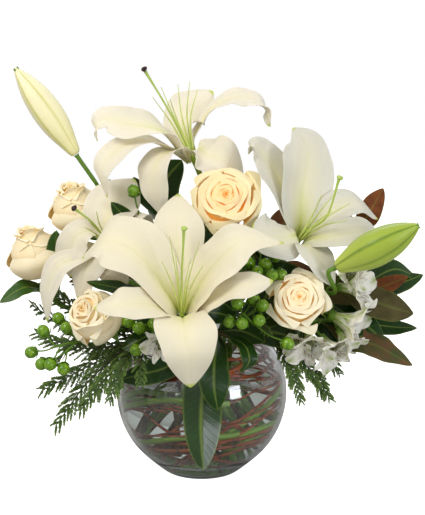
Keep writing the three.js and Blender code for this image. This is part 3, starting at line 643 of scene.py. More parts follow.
class Piece:
    """Gathers the surfaces of one piece in millimetres, then makes its mesh.

    Each point carries two painting values and its side in the attribute "tint", and its place on
    the flattened surface, in millimetres, with a number of its own in the attribute "flat". A
    surface's painting values are one for all, a pair for each row, or a pair for each point.
    """

    def __init__(self) -> None:
        """Starts with no surfaces."""
        self.parts: dict[str, list[Array]] = {"points": [], "tint": [], "flat": []}
        self.faces: list[list[int]] = []
        self.wears: list[int] = []
        self.finishes: list[Finish] = []
        self.count = 0

    def put(
        self, points: Array, tint: Array, flat: Array, faces: list[list[int]], finish: Finish
    ) -> None:
        """Adds a surface.

        Args:
            points: Its points.
            tint: Two painting values and the side, for each point.
            flat: The place on the flattened surface and a number, for each point.
            faces: The corners of each face, counted from the surface's first point.
            finish: What it wears.
        """
        if finish not in self.finishes:
            self.finishes.append(finish)
        for name, values in (("points", points), ("tint", tint), ("flat", flat)):
            self.parts[name].append(values.reshape(-1, 3))
        self.faces += [[k + self.count for k in face] for face in faces]
        self.wears += [self.finishes.index(finish)] * len(faces)
        self.count += points.size // 3

    def sheet(
        self,
        middle: Array,
        thickness: Array | float,
        finish: Finish,
        tint: Array | float = 0.0,
        under: Array | None = None,
        seed: float = 0.0,
        across: Array | None = None,
    ) -> None:
        """Adds a thin closed sheet.

        Args:
            middle: Its middle surface, as rows of points from root to tip.
            thickness: Its thickness, plain or at each point.
            finish: What it wears.
            tint: The painting values of its inner or upper face.
            under: The same for its other face, if that differs.
            seed: A number that sets it apart from its neighbours.
            across: The flattened places across it, if its veins meet at its ends.
        """
        shape = rows, cols = middle.shape[:2]
        face = unit(np.cross(np.gradient(middle, axis=0), np.gradient(middle, axis=1)))
        lift = face * np.broadcast_to(np.asarray(thickness, float), shape)[..., None] / 2
        if across is None:
            steps = np.diff(middle, axis=1, prepend=middle[:, :1])
            across = np.cumsum(np.linalg.norm(steps, axis=2), axis=1)
            across -= across[:, cols // 2][:, None]
        along = np.repeat(run(middle[:, cols // 2])[:, None], cols, 1)
        flat = np.dstack([across, along, np.full(shape, seed)])
        k = np.arange(rows * cols).reshape(shape)
        quads = np.stack([k[:-1, :-1], k[1:, :-1], k[1:, 1:], k[:-1, 1:]], -1).reshape(-1, 4)
        rim = np.concatenate([k[0, :-1], k[:-1, -1], k[-1, :0:-1], k[:0:-1, 0]])
        after = np.roll(rim, -1)
        strip = np.stack([rim, after, after + k.size, rim + k.size], -1)
        faces = np.vstack([quads, quads[:, ::-1] + k.size, strip]).tolist()
        sides = [
            np.dstack([np.broadcast_to(paint, (*shape, 2)), np.full(shape, side)])
            for paint, side in ((tint, 1.0), (tint if under is None else under, -1.0))
        ]
        points = np.stack([middle + lift, middle - lift])
        self.put(points, np.stack(sides), np.stack([flat, flat]), faces, finish)

    def round(
        self, rings: Array, finish: Finish, tint: Array | float = 0.0, seed: float = 0.0
    ) -> None:
        """Adds a closed round body.

        Args:
            rings: Its rings of points, from one end to the other.
            finish: What it wears.
            tint: Its painting values.
            seed: A number that sets it apart from its neighbours.
        """
        shape = rows, cols = rings.shape[:2]
        tint = np.broadcast_to(tint[:, None] if np.ndim(tint) == 2 else tint, (*shape, 2))
        step = np.linalg.norm(np.roll(rings, -1, axis=1) - rings, axis=2)
        around = np.cumsum(step, axis=1) - step
        along = np.repeat(run(rings.mean(1))[:, None], cols, 1)
        k = np.arange(rows * cols).reshape(shape)
        after = np.roll(k, -1, axis=1)
        quads = np.stack([k[:-1], after[:-1], after[1:], k[1:]], -1).reshape(-1, 4).tolist()
        faces = [*quads, k[0, ::-1].tolist(), k[-1].tolist()]
        flat = np.dstack([around, along, np.full(shape, seed)])
        self.put(rings, np.dstack([tint, np.ones(shape)]), flat, faces, finish)

    def tube(
        self,
        path: Array,
        radius: Array | float,
        finish: Finish,
        sides: int = 10,
        tint: Array | float = 0.0,
        seed: float = 0.0,
    ) -> None:
        """Adds a tube along a path.

        Args:
            path: The points of its middle line.
            radius: Its radius, plain or at each point of the path.
            finish: What it wears.
            sides: How many sides it has.
            tint: Its painting values.
            seed: A number that sets it apart from its neighbours.
        """
        along = unit(np.gradient(path, axis=0))
        normal = np.cross(along[0], UP if abs(along[0][2]) < 0.9 else (1.0, 0.0, 0.0))
        normals = []
        for way in along:
            normal = unit(normal - way * (way @ normal))
            normals.append(normal)
        beside = np.cross(along, normals)
        angle = np.linspace(0, 2 * math.pi, sides, endpoint=False)[None, :, None]
        radius = np.broadcast_to(np.asarray(radius, float), len(path))[:, None, None]
        spokes = np.cos(angle) * np.array(normals)[:, None] + np.sin(angle) * beside[:, None]
        self.round(path[:, None] + radius * spokes, finish, tint, seed)

    def lathe(
        self,
        profile: Array,
        pose: Pose,
        finish: Finish,
        sides: int = 24,
        shape: Callable[[Array], Array] = np.ones_like,
        tint: Array | float = 0.0,
        seed: float = 0.0,
    ) -> None:
        """Adds a turned body.

        Args:
            profile: Its radius and height, from its lower end to its upper end.
            pose: Where it stands.
            finish: What it wears.
            sides: How many sides it has.
            shape: Gives a factor on the radius for each angle.
            tint: Its painting values.
            seed: A number that sets it apart from its neighbours.
        """
        profile = np.maximum(np.asarray(profile, float)[:, :2], [1e-3, -np.inf])
        angle = np.linspace(0, 2 * math.pi, sides, endpoint=False)
        radius = profile[:, :1] * shape(angle)
        height = np.repeat(profile[:, 1:], sides, 1)
        rings = np.dstack([radius * np.cos(angle), radius * np.sin(angle), height])
        self.round(pose.apply(rings), finish, tint, seed)

    def spindles(
        self, roots: Array, tips: Array, normals: Array, wide: float, thick: float, tint: Array
    ) -> None:
        """Adds many small pointed shoots at once.

        Args:
            roots: Where they start.
            tips: Where they end.
            normals: The way that their flat sides face.
            wide: Their width.
            thick: Their thickness.
            tint: Two painting values for each shoot.
        """
        count = len(roots)
        along = tips - roots
        side = unit(np.cross(normals, along))
        face = unit(np.cross(along, side))
        swell = 0.45  # where a shoot is widest
        belly = roots + swell * along
        offsets = [side * wide / 2, face * thick / 2, -side * wide / 2, -face * thick / 2]
        base = [roots + 0.5 * shift for shift in offsets]
        points = np.stack([*base, *(belly + shift for shift in offsets), tips], 1)
        corners = points.shape[1]
        paint = np.repeat(np.column_stack([tint, np.ones(count)])[:, None], corners, 1)
        paint[:, :4, 0] *= 0.55
        reach = np.linalg.norm(along, axis=1)[:, None]
        spread = np.repeat(np.array([[0, 0.6, 0, -0.6, 0, 0.6, 0, -0.6, 0]]), count, 0) * wide
        far = np.hstack([np.zeros((count, 4)), np.repeat(swell * reach, 4, 1), reach])
        flat = np.dstack([spread, far, np.repeat(np.arange(count)[:, None] * 3.7, corners, 1)])
        one = [[3, 2, 1, 0]]
        one += [[k, (k + 1) % 4, 4 + (k + 1) % 4, 4 + k] for k in range(4)]
        one += [[4 + k, 4 + (k + 1) % 4, 8] for k in range(4)]
        faces = [[corners * n + k for k in face] for n in range(count) for face in one]
        self.put(points, paint, flat, faces, CEDAR)

    def make(self, name: str, slot: str, *nodes: str) -> None:
        """Makes the piece's mesh and ties it to the frame.

        Args:
            name: The piece's name.
            slot: Not used.
            *nodes: The solids that it stands for.
        """
        mesh = bpy.data.meshes.new(name)
        mesh.from_pydata((np.vstack(self.parts.pop("points")) * MM).tolist(), [], self.faces)
        for finish in self.finishes:
            mesh.materials.append(finish.material())
        mesh.polygons.foreach_set("material_index", self.wears)
        for label, values in self.parts.items():
            layer = mesh.attributes.new(label, "FLOAT_VECTOR", "POINT")
            layer.data.foreach_set("vector", np.vstack(values).astype(np.float32).ravel())
        mesh.shade_smooth()
        mesh.set_sharp_from_angle(angle=SHARP_ANGLE)
        made = bpy.data.objects.new(name, mesh)
        bpy.context.scene.collection.objects.link(made)
        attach(made, BODY)
        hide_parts(*nodes)
        LOG.info("%s: %d faces", name, len(self.faces))


@dataclass(frozen=True)
class Neck:
    """How every stem stands in the bowl: a straight line that leans round as all the others do."""

    height: float = 134
    drop: float = 104  # how far under the neck the next two hold
    twist: float = 110  # how far round the stems have gone, in degrees
    spread: float = 1.45  # how much wider they stand than in the neck
    wall: float = 17  # what a foot keeps from the glass
    lowest: float = 9
    ball: float = 73  # the inner radius of the bowl
    centre: float = 74.5  # the height of its middle
    straight_points: int = 10
    curve_points: int = 28

    def inside(self, height: Array | float) -> Array:
        """Gives the inner radius of the glass at a height."""
        return np.sqrt(np.maximum(self.ball**2 - (height - self.centre) ** 2, 0))

    def at(self, neck: Array, height: float) -> Array:
        """Gives a stem's place at a height.

        Args:
            neck: Its place in the neck.
            height: The height.

        Returns:
            The place.
        """
        t = (self.height - height) / self.drop
        turn = math.radians(self.twist)
        c, s = 1 - t + t * self.spread * math.cos(turn), t * self.spread * math.sin(turn)
        return np.array([neck[0] * c - neck[1] * s, neck[0] * s + neck[1] * c, height])

    def below(self, polar: Polar, share: float, count: int) -> tuple[Array, Array]:
        """Gives a stem's straight part.

        Args:
            polar: Its radius and angle in the neck.
            share: How much of the way up to the neck its points take.
            count: How many points.

        Returns:
            The points, from the foot up, and its place in the neck.
        """
        neck = polar[0] * level(polar[1]) + [0, 0, self.height]
        low = self.lowest
        while np.linalg.norm(self.at(neck, low)[:2]) > self.inside(low) - self.wall:
            low += 1
        foot = self.at(neck, low)
        return foot + (neck - foot) * np.linspace(0, share, count)[:, None], neck

    def head_stem(self, polar: Polar, base: Array, facing: Array, straight: float = 9) -> Array:
        """Gives a stem's whole path, arriving from behind the head.

        Args:
            polar: Its radius and angle in the neck.
            base: The base of the head.
            facing: The way that the head faces.
            straight: The length of its last straight part.

        Returns:
            The points of the path, from the foot up.
        """
        below, start = self.below(polar, 0.94, self.straight_points)
        lean, back = unit(start - below[0]), unit(facing)
        end = base - back * straight
        reach = np.linalg.norm(end - start) * 0.38
        t = np.linspace(0, 1, self.curve_points)[:, None]
        a, b, c, d = start, start + lean * reach, end - back * reach, end
        curve = (1 - t) ** 3 * a + 3 * t * (1 - t) ** 2 * b + 3 * t**2 * (1 - t) * c + t**3 * d
        return np.vstack([below, curve, base])

    def above(self, path: Array, share: float) -> Array:
        """Gives the point of a head's stem at a share of its curve above the neck."""
        return path[self.straight_points + round((self.curve_points - 1) * share)]

    def woody(self, polar: Polar, route: Sequence[Point]) -> tuple[Array, Array]:
        """Gives the path of a stem with a route of its own.

        Args:
            polar: Its radius and angle in the neck.
            route: The points that it passes above the neck.

        Returns:
            The points of the path, and the share of its way at each.
        """
        below, start = self.below(polar, 0.9, 8)
        path = np.vstack([below, Line([start, *route]).sweep(8 * len(route))])
        return path, np.linspace(0, 1, len(path))


NECK = Neck()


@dataclass(frozen=True)
class Rib:
    """The frame of a petal or leaf: its rib, and the ways that its inner face looks."""

    points: tuple[Point, ...]
    inner: Point = FORWARD
    outer: Point | None = None  # the same for its outer half, if it turns

    def blade(self, across: Array, lift: Array) -> Array:
        """Gives the middle surface of a blade.

        Args:
            across: How far to the side of the rib each of its points lies.
            lift: How far in front of the rib each of them lies.

        Returns:
            Rows of points from root to tip.
        """
        line = Line(self.points)
        share = np.linspace(0, 1, len(across))
        lean = (line.knots[-1] + line.knots[-2]) / 2 - line.knots[0]
        near, far = (unit(np.cross(way, lean)) for way in (self.inner, self.outer or self.inner))
        turned = ramp(share, 0.3, 0.7)[:, None]
        beside, along = near * (1 - turned) + far * turned, line.along(share)
        side = unit(beside - along * np.sum(along * beside, axis=1, keepdims=True))
        face = np.cross(along, side)[:, None]
        return line.at(share)[:, None] + side[:, None] * across[..., None] + face * lift[..., None]


@dataclass(frozen=True)
class Leaf:
    """One leaf: where it grows, how wide it is, and which of its faces is turned to the viewer."""

    rib: tuple[Point, ...]
    half: float
    inner: Point = FORWARD
    finish: BroadLeaf = MAGNOLIA
    flipped: bool = False
    wave: float = 0.5
    rise: float = 1.0
    fall: float = 0.85
    cup: float = 0.3
    fold: float = 0.0

    def add_to(self, piece: Piece, seed: float, start: Array | None = None) -> None:
        """Adds the leaf to a piece.

        Args:
            piece: The piece.
            seed: A number that sets it apart from its neighbours.
            start: Where it grows, if that isn't its first point.
        """
        u, v = grid(44, 15)
        points = self.rib if start is None else (tuple(start), *self.rib)
        width = self.half * (0.04 + 0.98 * swelling(v, self.rise, self.fall))
        width = width * (1 + 0.07 * np.sin(8 * v + seed + 1.4 * np.sign(u)) * np.abs(u))
        swing = np.sin(19 * v + seed + 1.9 * np.sign(u)) + 0.5 * np.sin(33 * v + 2 * seed)
        lift = self.wave * swing * np.abs(u) ** 2.2 * np.sin(math.pi * v)
        lift += self.cup * width * u * u * (1 - 1.3 * v) - 0.9 * bell(u, 0.1) * (1 - 0.7 * v)
        lift -= self.fold * np.abs(u) * width
        middle = Rib(points, self.inner).blade(u * width, lift)
        if self.flipped:
            middle = middle[:, ::-1]
        rib = 0.85 * bell(u * width, 0.45) * (1 - 0.35 * v)
        tint = painted(np.maximum(rib, 0.5 * bell((1 - np.abs(u)) * width, 0.4)))
        thick = 0.8 * (0.55 + 0.45 * bell(u, 0.5)) + 0.5 * bell(u * width, 1.2)
        across = u * self.half * (1 - 2 * self.flipped)
        piece.sheet(middle, thick, self.finish, tint, seed=seed, across=across)


def add_leaves(piece: Piece, path: Array, leaves: Sequence[tuple[float, Leaf]]) -> None:
    """Adds the leaves of a stem, each at a share of the curve above the neck."""
    for n, (share, leaf) in enumerate(leaves):
        leaf.add_to(piece, 4.0 * n, NECK.above(path, share))


def add_sepals(
    piece: Piece,
    pose: Pose,
    places: tuple[Array, Array, Array],
    start: float,
    thickness: float,
    step: float = 0.0,
) -> None:
    """Adds five sepals round a head or berry.

    Args:
        piece: The stem's piece.
        pose: Where the head stands.
        places: How far out, across and up each point of a sepal lies.
        start: The angle of the first sepal, in degrees.
        thickness: How thick they are.
        step: How much the seed grows from one to the next.
    """
    out, across, up = places
    for k in range(5):
        c, s, _ = level(72 * k + start)
        middle = np.dstack([out * c - across * s, out * s + across * c, up])
        piece.sheet(pose.apply(middle), thickness, STEM, seed=step * k)


# ---- bowl, water and willow


def arc(radius: float, low: float, high: float) -> Array:
    """Gives a profile of the ball's wall.

    Args:
        radius: The wall's radius.
        low: The height where the profile starts.
        high: The height where it ends.

    Returns:
        Rows of radius and height.
    """
    ends = [math.asin((height - NECK.centre) / radius) for height in (low, high)]
    a = np.linspace(*ends, 60)
    return np.column_stack([radius * np.cos(a), NECK.centre + radius * np.sin(a)])


@dataclass
class Bowl:
    """The blown glass ball with its flat foot and open mouth."""

    radius: float = 76
    glass: float = 3
    foot: float = 25.5
    floor: float = 3
    mouth: float = 48
    sides: int = 128

    def build(self) -> None:
        """Makes the bowl, from the middle of its foot to the middle of its floor."""
        rim = NECK.centre + math.sqrt(self.radius**2 - self.mouth**2)
        heel = ((self.foot - 2, 0), (self.foot, 0.3), (31.8, 2.7), (40.4, 9), (50.5, 17.7))
        turn = np.linspace(-0.5, math.pi - 0.5, 10)
        half = self.glass / 2
        profile = [
            [[0, 0], [12, 0]],
            smoothed(heel, 16),
            arc(self.radius, 19, rim - 3),
            [self.mouth - half, rim - half] + half * np.column_stack([np.cos(turn), np.sin(turn)]),
            arc(self.radius - self.glass, rim - 4, 14),
            smoothed(((37.2, 9.6), (31, 5.2), (22, self.floor + 0.3), (8, self.floor)), 12),
            [[0, self.floor]],
        ]
        piece = Piece()
        piece.lathe(np.vstack(profile), Pose((0, 0, 0)), GLASS, self.sides)
        piece.make("glass_bowl_clear", "clear_glass", "glass_bowl")


@dataclass
class WaterBody:
    """The water, which meets the glass all round and creeps up it a little."""

    level: float = WATER_LEVEL
    bottom: float = 3.12
    creep: float = 1.2
    gap: float = 0.12
    sides: int = 128

    def build(self) -> None:
        """Makes the water."""
        high = self.level
        edge = float(NECK.inside(high)) - self.gap
        low = ((8, self.bottom), (21.9, self.bottom + 0.3), (30.85, 5.3), (37, 9.72))
        profile = [
            [[0, self.bottom]],
            smoothed(low, 12),
            arc(NECK.ball - self.gap, 14.1, high + self.creep),
            [[edge - 0.6, high + 0.45 * self.creep], [edge - 2.2, high + 0.1 * self.creep]],
            [[edge - 5, high], [0, high]],
        ]
        piece = Piece()
        piece.lathe(np.vstack(profile), Pose((0, 0, 0)), WATER, self.sides)
        piece.make("water_still", "clear_water", "water")


@dataclass
class WillowCoil:
    """A bundle of willow twigs and a few green stems, coiled round the inside of the glass."""

    number: int
    low: float
    high: float
    start: float
    turns: float
    away: float
    sway: float
    radius: float
    floor: float = 20
    roof: float = 84
    slant: float = 22
    strands: int = 5
    green: tuple[int, ...] = ()
    steps: int = 150
    joint_mm: float = 24.0
    dry: float = 5  # how far from the glass a strand above the water may lie

    def build(self) -> None:
        """Makes the bundle."""
        draw = np.random.default_rng(100 + self.number)
        piece = Piece()
        t = np.linspace(0, 1, self.steps)
        for strand in range(self.strands):
            loose = strand > 0
            start, turns, slant, lag, inward, thin = draw.uniform(0, 1, 6)
            turning = 2 * math.pi * self.turns * (0.6 + 0.5 * turns if loose else 1) * t
            angle = math.radians(self.start) + 2 * math.pi * start * loose + turning
            z = self.low + (self.high - self.low) * t + self.sway * np.sin(9 * t + self.number - 1)
            tilt = loose * self.slant * (2 * slant - 1)
            z += tilt * np.sin(angle + 6 * lag) + loose * 8 * (lag - 0.5)
            z = np.clip(z + loose * 1.2 * np.sin(31 * t + 9 * lag), self.floor, self.roof)
            away = self.away + loose * (1.5 + 5 * inward * (1 + np.sin(5 * t + strand)))
            out = NECK.inside(z) - np.where(z > WATER_LEVEL, np.minimum(away, self.dry), away)
            out += 0.6 * np.sin(47 * t + 5 * lag)
            path = np.column_stack([out * np.cos(angle), out * np.sin(angle), z])
            joint = bell((run(path) + 7 * strand) % self.joint_mm - self.joint_mm / 2, 1.6)
            # Green strands are painted halfway to the stem's paler tint: painted light, so that
            # they read as lit under the water.
            if strand in self.green:
                skin, size, tint = STEM, 1.3 * self.radius, painted(0.5 + 0 * joint)
            else:
                size = self.radius * (0.5 + 0.5 * thin if loose else 1) * (1 - 0.45 * t)
                skin, size, tint = BARK, size * (1 + 0.35 * joint), painted(0.9 * joint)
            piece.tube(path, size, skin, 8, tint, seed=9.0 * strand)
        name = f"willow_twig_{self.number}"
        piece.make(f"{name}_bundle", "willow_brown", name)


# ---- lilies


class Stigma(Enum):
    """Whether the end of a lily's pistil is still green or has turned dark."""

    GREEN = 0.0
    DARK = 1.0


@dataclass(frozen=True)
class Petal:
    """A lily petal: its rib beyond the throat, half its width, and how its edges wave."""

    rib: tuple[Point, ...]
    half: float
    ruffle: float = 1.4
    waves: float = 1.6
    phase: float = 0.0
    outer: Point | None = None
    rise: float = 1.5
    fall: float = 0.9
    cup: float = 0.45
    groove: float = 1.4


@dataclass(frozen=True)
class Bud:
    """A closed lily bud: its stalk, its two ends and its greatest radius."""

    name: str
    slot: str
    fork: float
    stalk: tuple[Point, ...]
    base: Point
    tip: Point
    radius: float
    skin: FreshPetal
    rows: int = 70
    sides: int = 72

    def build(self) -> None:
        """Makes the bud, with a raised rib on each outer petal and a seam where two meet."""
        axis = np.subtract(self.tip, self.base)
        length = float(np.linalg.norm(axis))
        shares = (0.02, 0.3, 0.62, 0.88, 1, 0.98, 0.84, 0.55, 0.14, 0.02)
        heights = (0, 0.008, 0.143, 0.286, 0.429, 0.571, 0.714, 0.857, 0.985, 1)
        profile = [(r * self.radius, h * length) for r, h in zip(shares, heights)]
        angle = np.linspace(0, 2 * math.pi, self.sides, endpoint=False)
        middle = (np.degrees(angle) + 60) % 120 - 60
        seam = np.degrees(angle) % 120 - 60
        shape = 1 + 0.055 * np.cos(3 * angle) + 0.04 * bell(middle, 6) - 0.05 * bell(seam, 5)
        share = np.linspace(0, 1, self.rows)[:, None]
        ends = 0.35 * (1 - ramp(share, 0, 0.14)) + ramp(share, 0.94, 0.99)
        lines = 0.75 * bell(middle, 5)[None] + 0.5 * bell(seam, 6)[None] * (0.5 + share)
        tint = painted(np.clip(lines + ends, 0, 1), 0.6 * bell(share - 0.1, 0.3))
        pose = Pose(self.base, tuple(axis))
        piece = Piece()
        rows = smoothed(profile, self.rows)
        piece.lathe(rows, pose, self.skin, self.sides, lambda _: shape, tint)
        bends = ((1.6, 2.4), (1.9, 1), (2.6, 0.2))
        for k in range(3):
            hook = [level(120 * k) * r + [0, 0, length - back] for r, back in bends]
            piece.tube(pose.apply(Line(hook).sweep(6)), np.linspace(1.3, 0.4, 6), STEM, 6)
        piece.make(f"{self.name}_closed", self.slot, self.name)


@dataclass
class Lily:
    """An open lily: six petals round a throat, a pistil, bare filaments and a stem."""

    name: str
    throat: Point
    facing: Point
    neck: Polar
    petals: tuple[Petal, ...]
    pistil: tuple[Point, ...]
    filaments: tuple[Point, ...]
    stigma: Stigma = Stigma.GREEN
    skin: FreshPetal = LILY_CREAM
    bud: Bud | None = None
    leaves: tuple[tuple[float, Leaf], ...] = ()
    tube_length: float = 14
    ring: float = 4.4
    stem_radius: float = 2.8
    style_radius: float = 1.1
    axis: Array = field(init=False)
    base: Array = field(init=False)
    heart: Array = field(init=False)

    def __post_init__(self) -> None:
        """Works out the lily's axis, the base of its petals and the place of its ovary."""
        self.axis = unit(self.facing)
        self.base = np.asarray(self.throat) - self.axis * self.tube_length
        self.heart = self.base + self.axis * 6

    def outward(self, point: Sequence[float]) -> Array:
        """Gives the way from the lily's axis to a point."""
        way = np.subtract(point, self.throat)
        return unit(way - self.axis * (way @ self.axis))

    def build(self) -> None:
        """Makes the petals, the stem with its inner parts, and the bud if there is one."""
        piece = Piece()
        for i, petal in enumerate(self.petals):
            self.add_petal(piece, petal, i)
        piece.make(f"lily_{self.name}_bloom", "lily_white", f"lily_{self.name}_petals")
        self.build_stem()
        if self.bud:
            self.bud.build()

    def add_petal(self, piece: Piece, petal: Petal, number: int) -> None:
        """Adds a petal. The odd ones stand behind the even ones.

        Args:
            piece: The bloom's piece.
            petal: The petal's rib and shape.
            number: Its number round the throat.
        """
        behind = number % 2
        out = self.outward(petal.rib[0])
        root = self.base + out * (self.ring + behind) + self.axis
        flare = np.asarray(self.throat) + out * (8 + 2 * behind) - self.axis * 3 * behind
        rib = Rib((tuple(root), tuple(flare), *petal.rib), self.facing, petal.outer)
        u, v = grid(64, 23)
        width = petal.half * (0.04 + 0.98 * swelling(v, petal.rise, petal.fall))
        uneven = np.sin(7 * v + 9 * petal.phase + 1.7 * np.sign(u))
        uneven += 0.7 * np.sin(19 * v + 5 * petal.phase + 2.3 * np.sign(u)) * np.sin(math.pi * v)
        width = width * (1 + 0.06 * uneven * np.abs(u))
        swing = np.sin(2 * math.pi * (petal.waves * v + petal.phase + 0.23 * np.sign(u)))
        swing += 0.35 * np.sin(2 * math.pi * (2.7 * petal.waves * v + 0.4 * np.sign(u)))
        ruffle = petal.ruffle * np.abs(u) ** 2.2 * swing * width / petal.half
        groove = -petal.groove * bell(u, 0.1) * (1 - v) ** 0.5
        pleats = 0.28 * np.cos(u * math.pi * 4.5) * bell(u, 0.7) * np.sin(math.pi * v)
        lift = petal.cup * width * u * u * (1 - 1.3 * v) + ruffle + groove + pleats
        green = (1 - ramp(v, 0, 0.46)) ** 1.1 * bell(u, 0.3 + 0.5 * np.clip(0.22 - v, 0, 1))
        keel = 0.22 * bell(u, 0.05) * (1 - ramp(v, 0.2, 0.85))
        tip = ramp(v, 0.968, 0.99)
        cream = 0.55 * bell(u, 0.45) * (1 - ramp(v, 0.3, 0.95))
        spine = 0.5 * bell(u, 0.12) * (1 - 0.55 * v) + 0.5 * (1 - ramp(v, 0, 0.3))
        tint = painted(np.clip(1.05 * green + keel + tip, 0, 1), cream)
        under = painted(np.clip(spine + tip, 0, 1), 0.4 * cream)
        thick = 0.35 + 0.55 * bell(u, 0.5) * (1 - 0.6 * v)
        middle = rib.blade(u * width, lift)
        piece.sheet(middle, thick, self.skin, tint, under, 17.0 * number, u * petal.half)

    def build_stem(self) -> None:
        """Makes the stem, the pistil, the bare filaments, the leaves and the bud's stalk."""
        piece = Piece()
        path = NECK.head_stem(self.neck, self.heart, self.axis)
        t = np.linspace(0, 1, len(path))
        piece.tube(path, self.stem_radius * (1 - 0.12 * t), STEM, 14, painted(ramp(t, 0.8, 1)))
        self.add_pistil(piece)
        for i, tip in enumerate(self.filaments):
            root = self.heart + self.outward(tip) * 1.7 - self.axis * 0.8
            belly = np.asarray(self.throat) + 0.45 * np.subtract(tip, self.throat) + self.axis * 3
            line = Line([root, belly, tip]).sweep(26)
            piece.tube(line, np.linspace(0.9, 0.28, 26), PISTIL, 8, seed=3.0 * i)
        add_leaves(piece, path, self.leaves)
        if self.bud:
            along = unit(np.subtract(self.bud.tip, self.bud.base))
            near = [np.asarray(self.bud.base) - along * back for back in (7, 0.35)]
            fork = NECK.above(path, self.bud.fork)
            stalk = Line([fork, *self.bud.stalk, *near]).sweep(40)
            piece.tube(stalk, 1.9 * (1 + 0.35 * bell(np.linspace(1, 0, 40), 0.05)), STEM, 12)
        piece.make(f"lily_{self.name}_stalk", "stem_green", f"lily_{self.name}_stem")

    def add_pistil(self, piece: Piece) -> None:
        """Adds the ovary, the style and the three-lobed stigma.

        Args:
            piece: The stem's piece.
        """
        t = np.linspace(0, 1, 40)
        line = Line([self.heart, self.throat, *self.pistil]).at(t)
        size = self.style_radius * (1.35 - 0.55 * ramp(t, 0, 0.25) + 0.55 * ramp(t, 0.875, 1))
        piece.tube(line, size, PISTIL, 12, painted(0.6 * t, self.stigma.value * ramp(t, 0.97, 1)))
        knob = smoothed(((0.2, -1.6), (1.5, -1.3), (2.6, 0), (2.5, 1), (1.4, 1.9), (0.1, 1.6)), 14)
        dark = np.tile([0.5, self.stigma.value], (14, 1))
        pose = Pose(tuple(line[-1]), tuple(unit(line[-1] - line[-2])))
        piece.lathe(knob, pose, PISTIL, 24, lambda a: 1 + 0.16 * np.cos(3 * a), dark)


# ---- roses


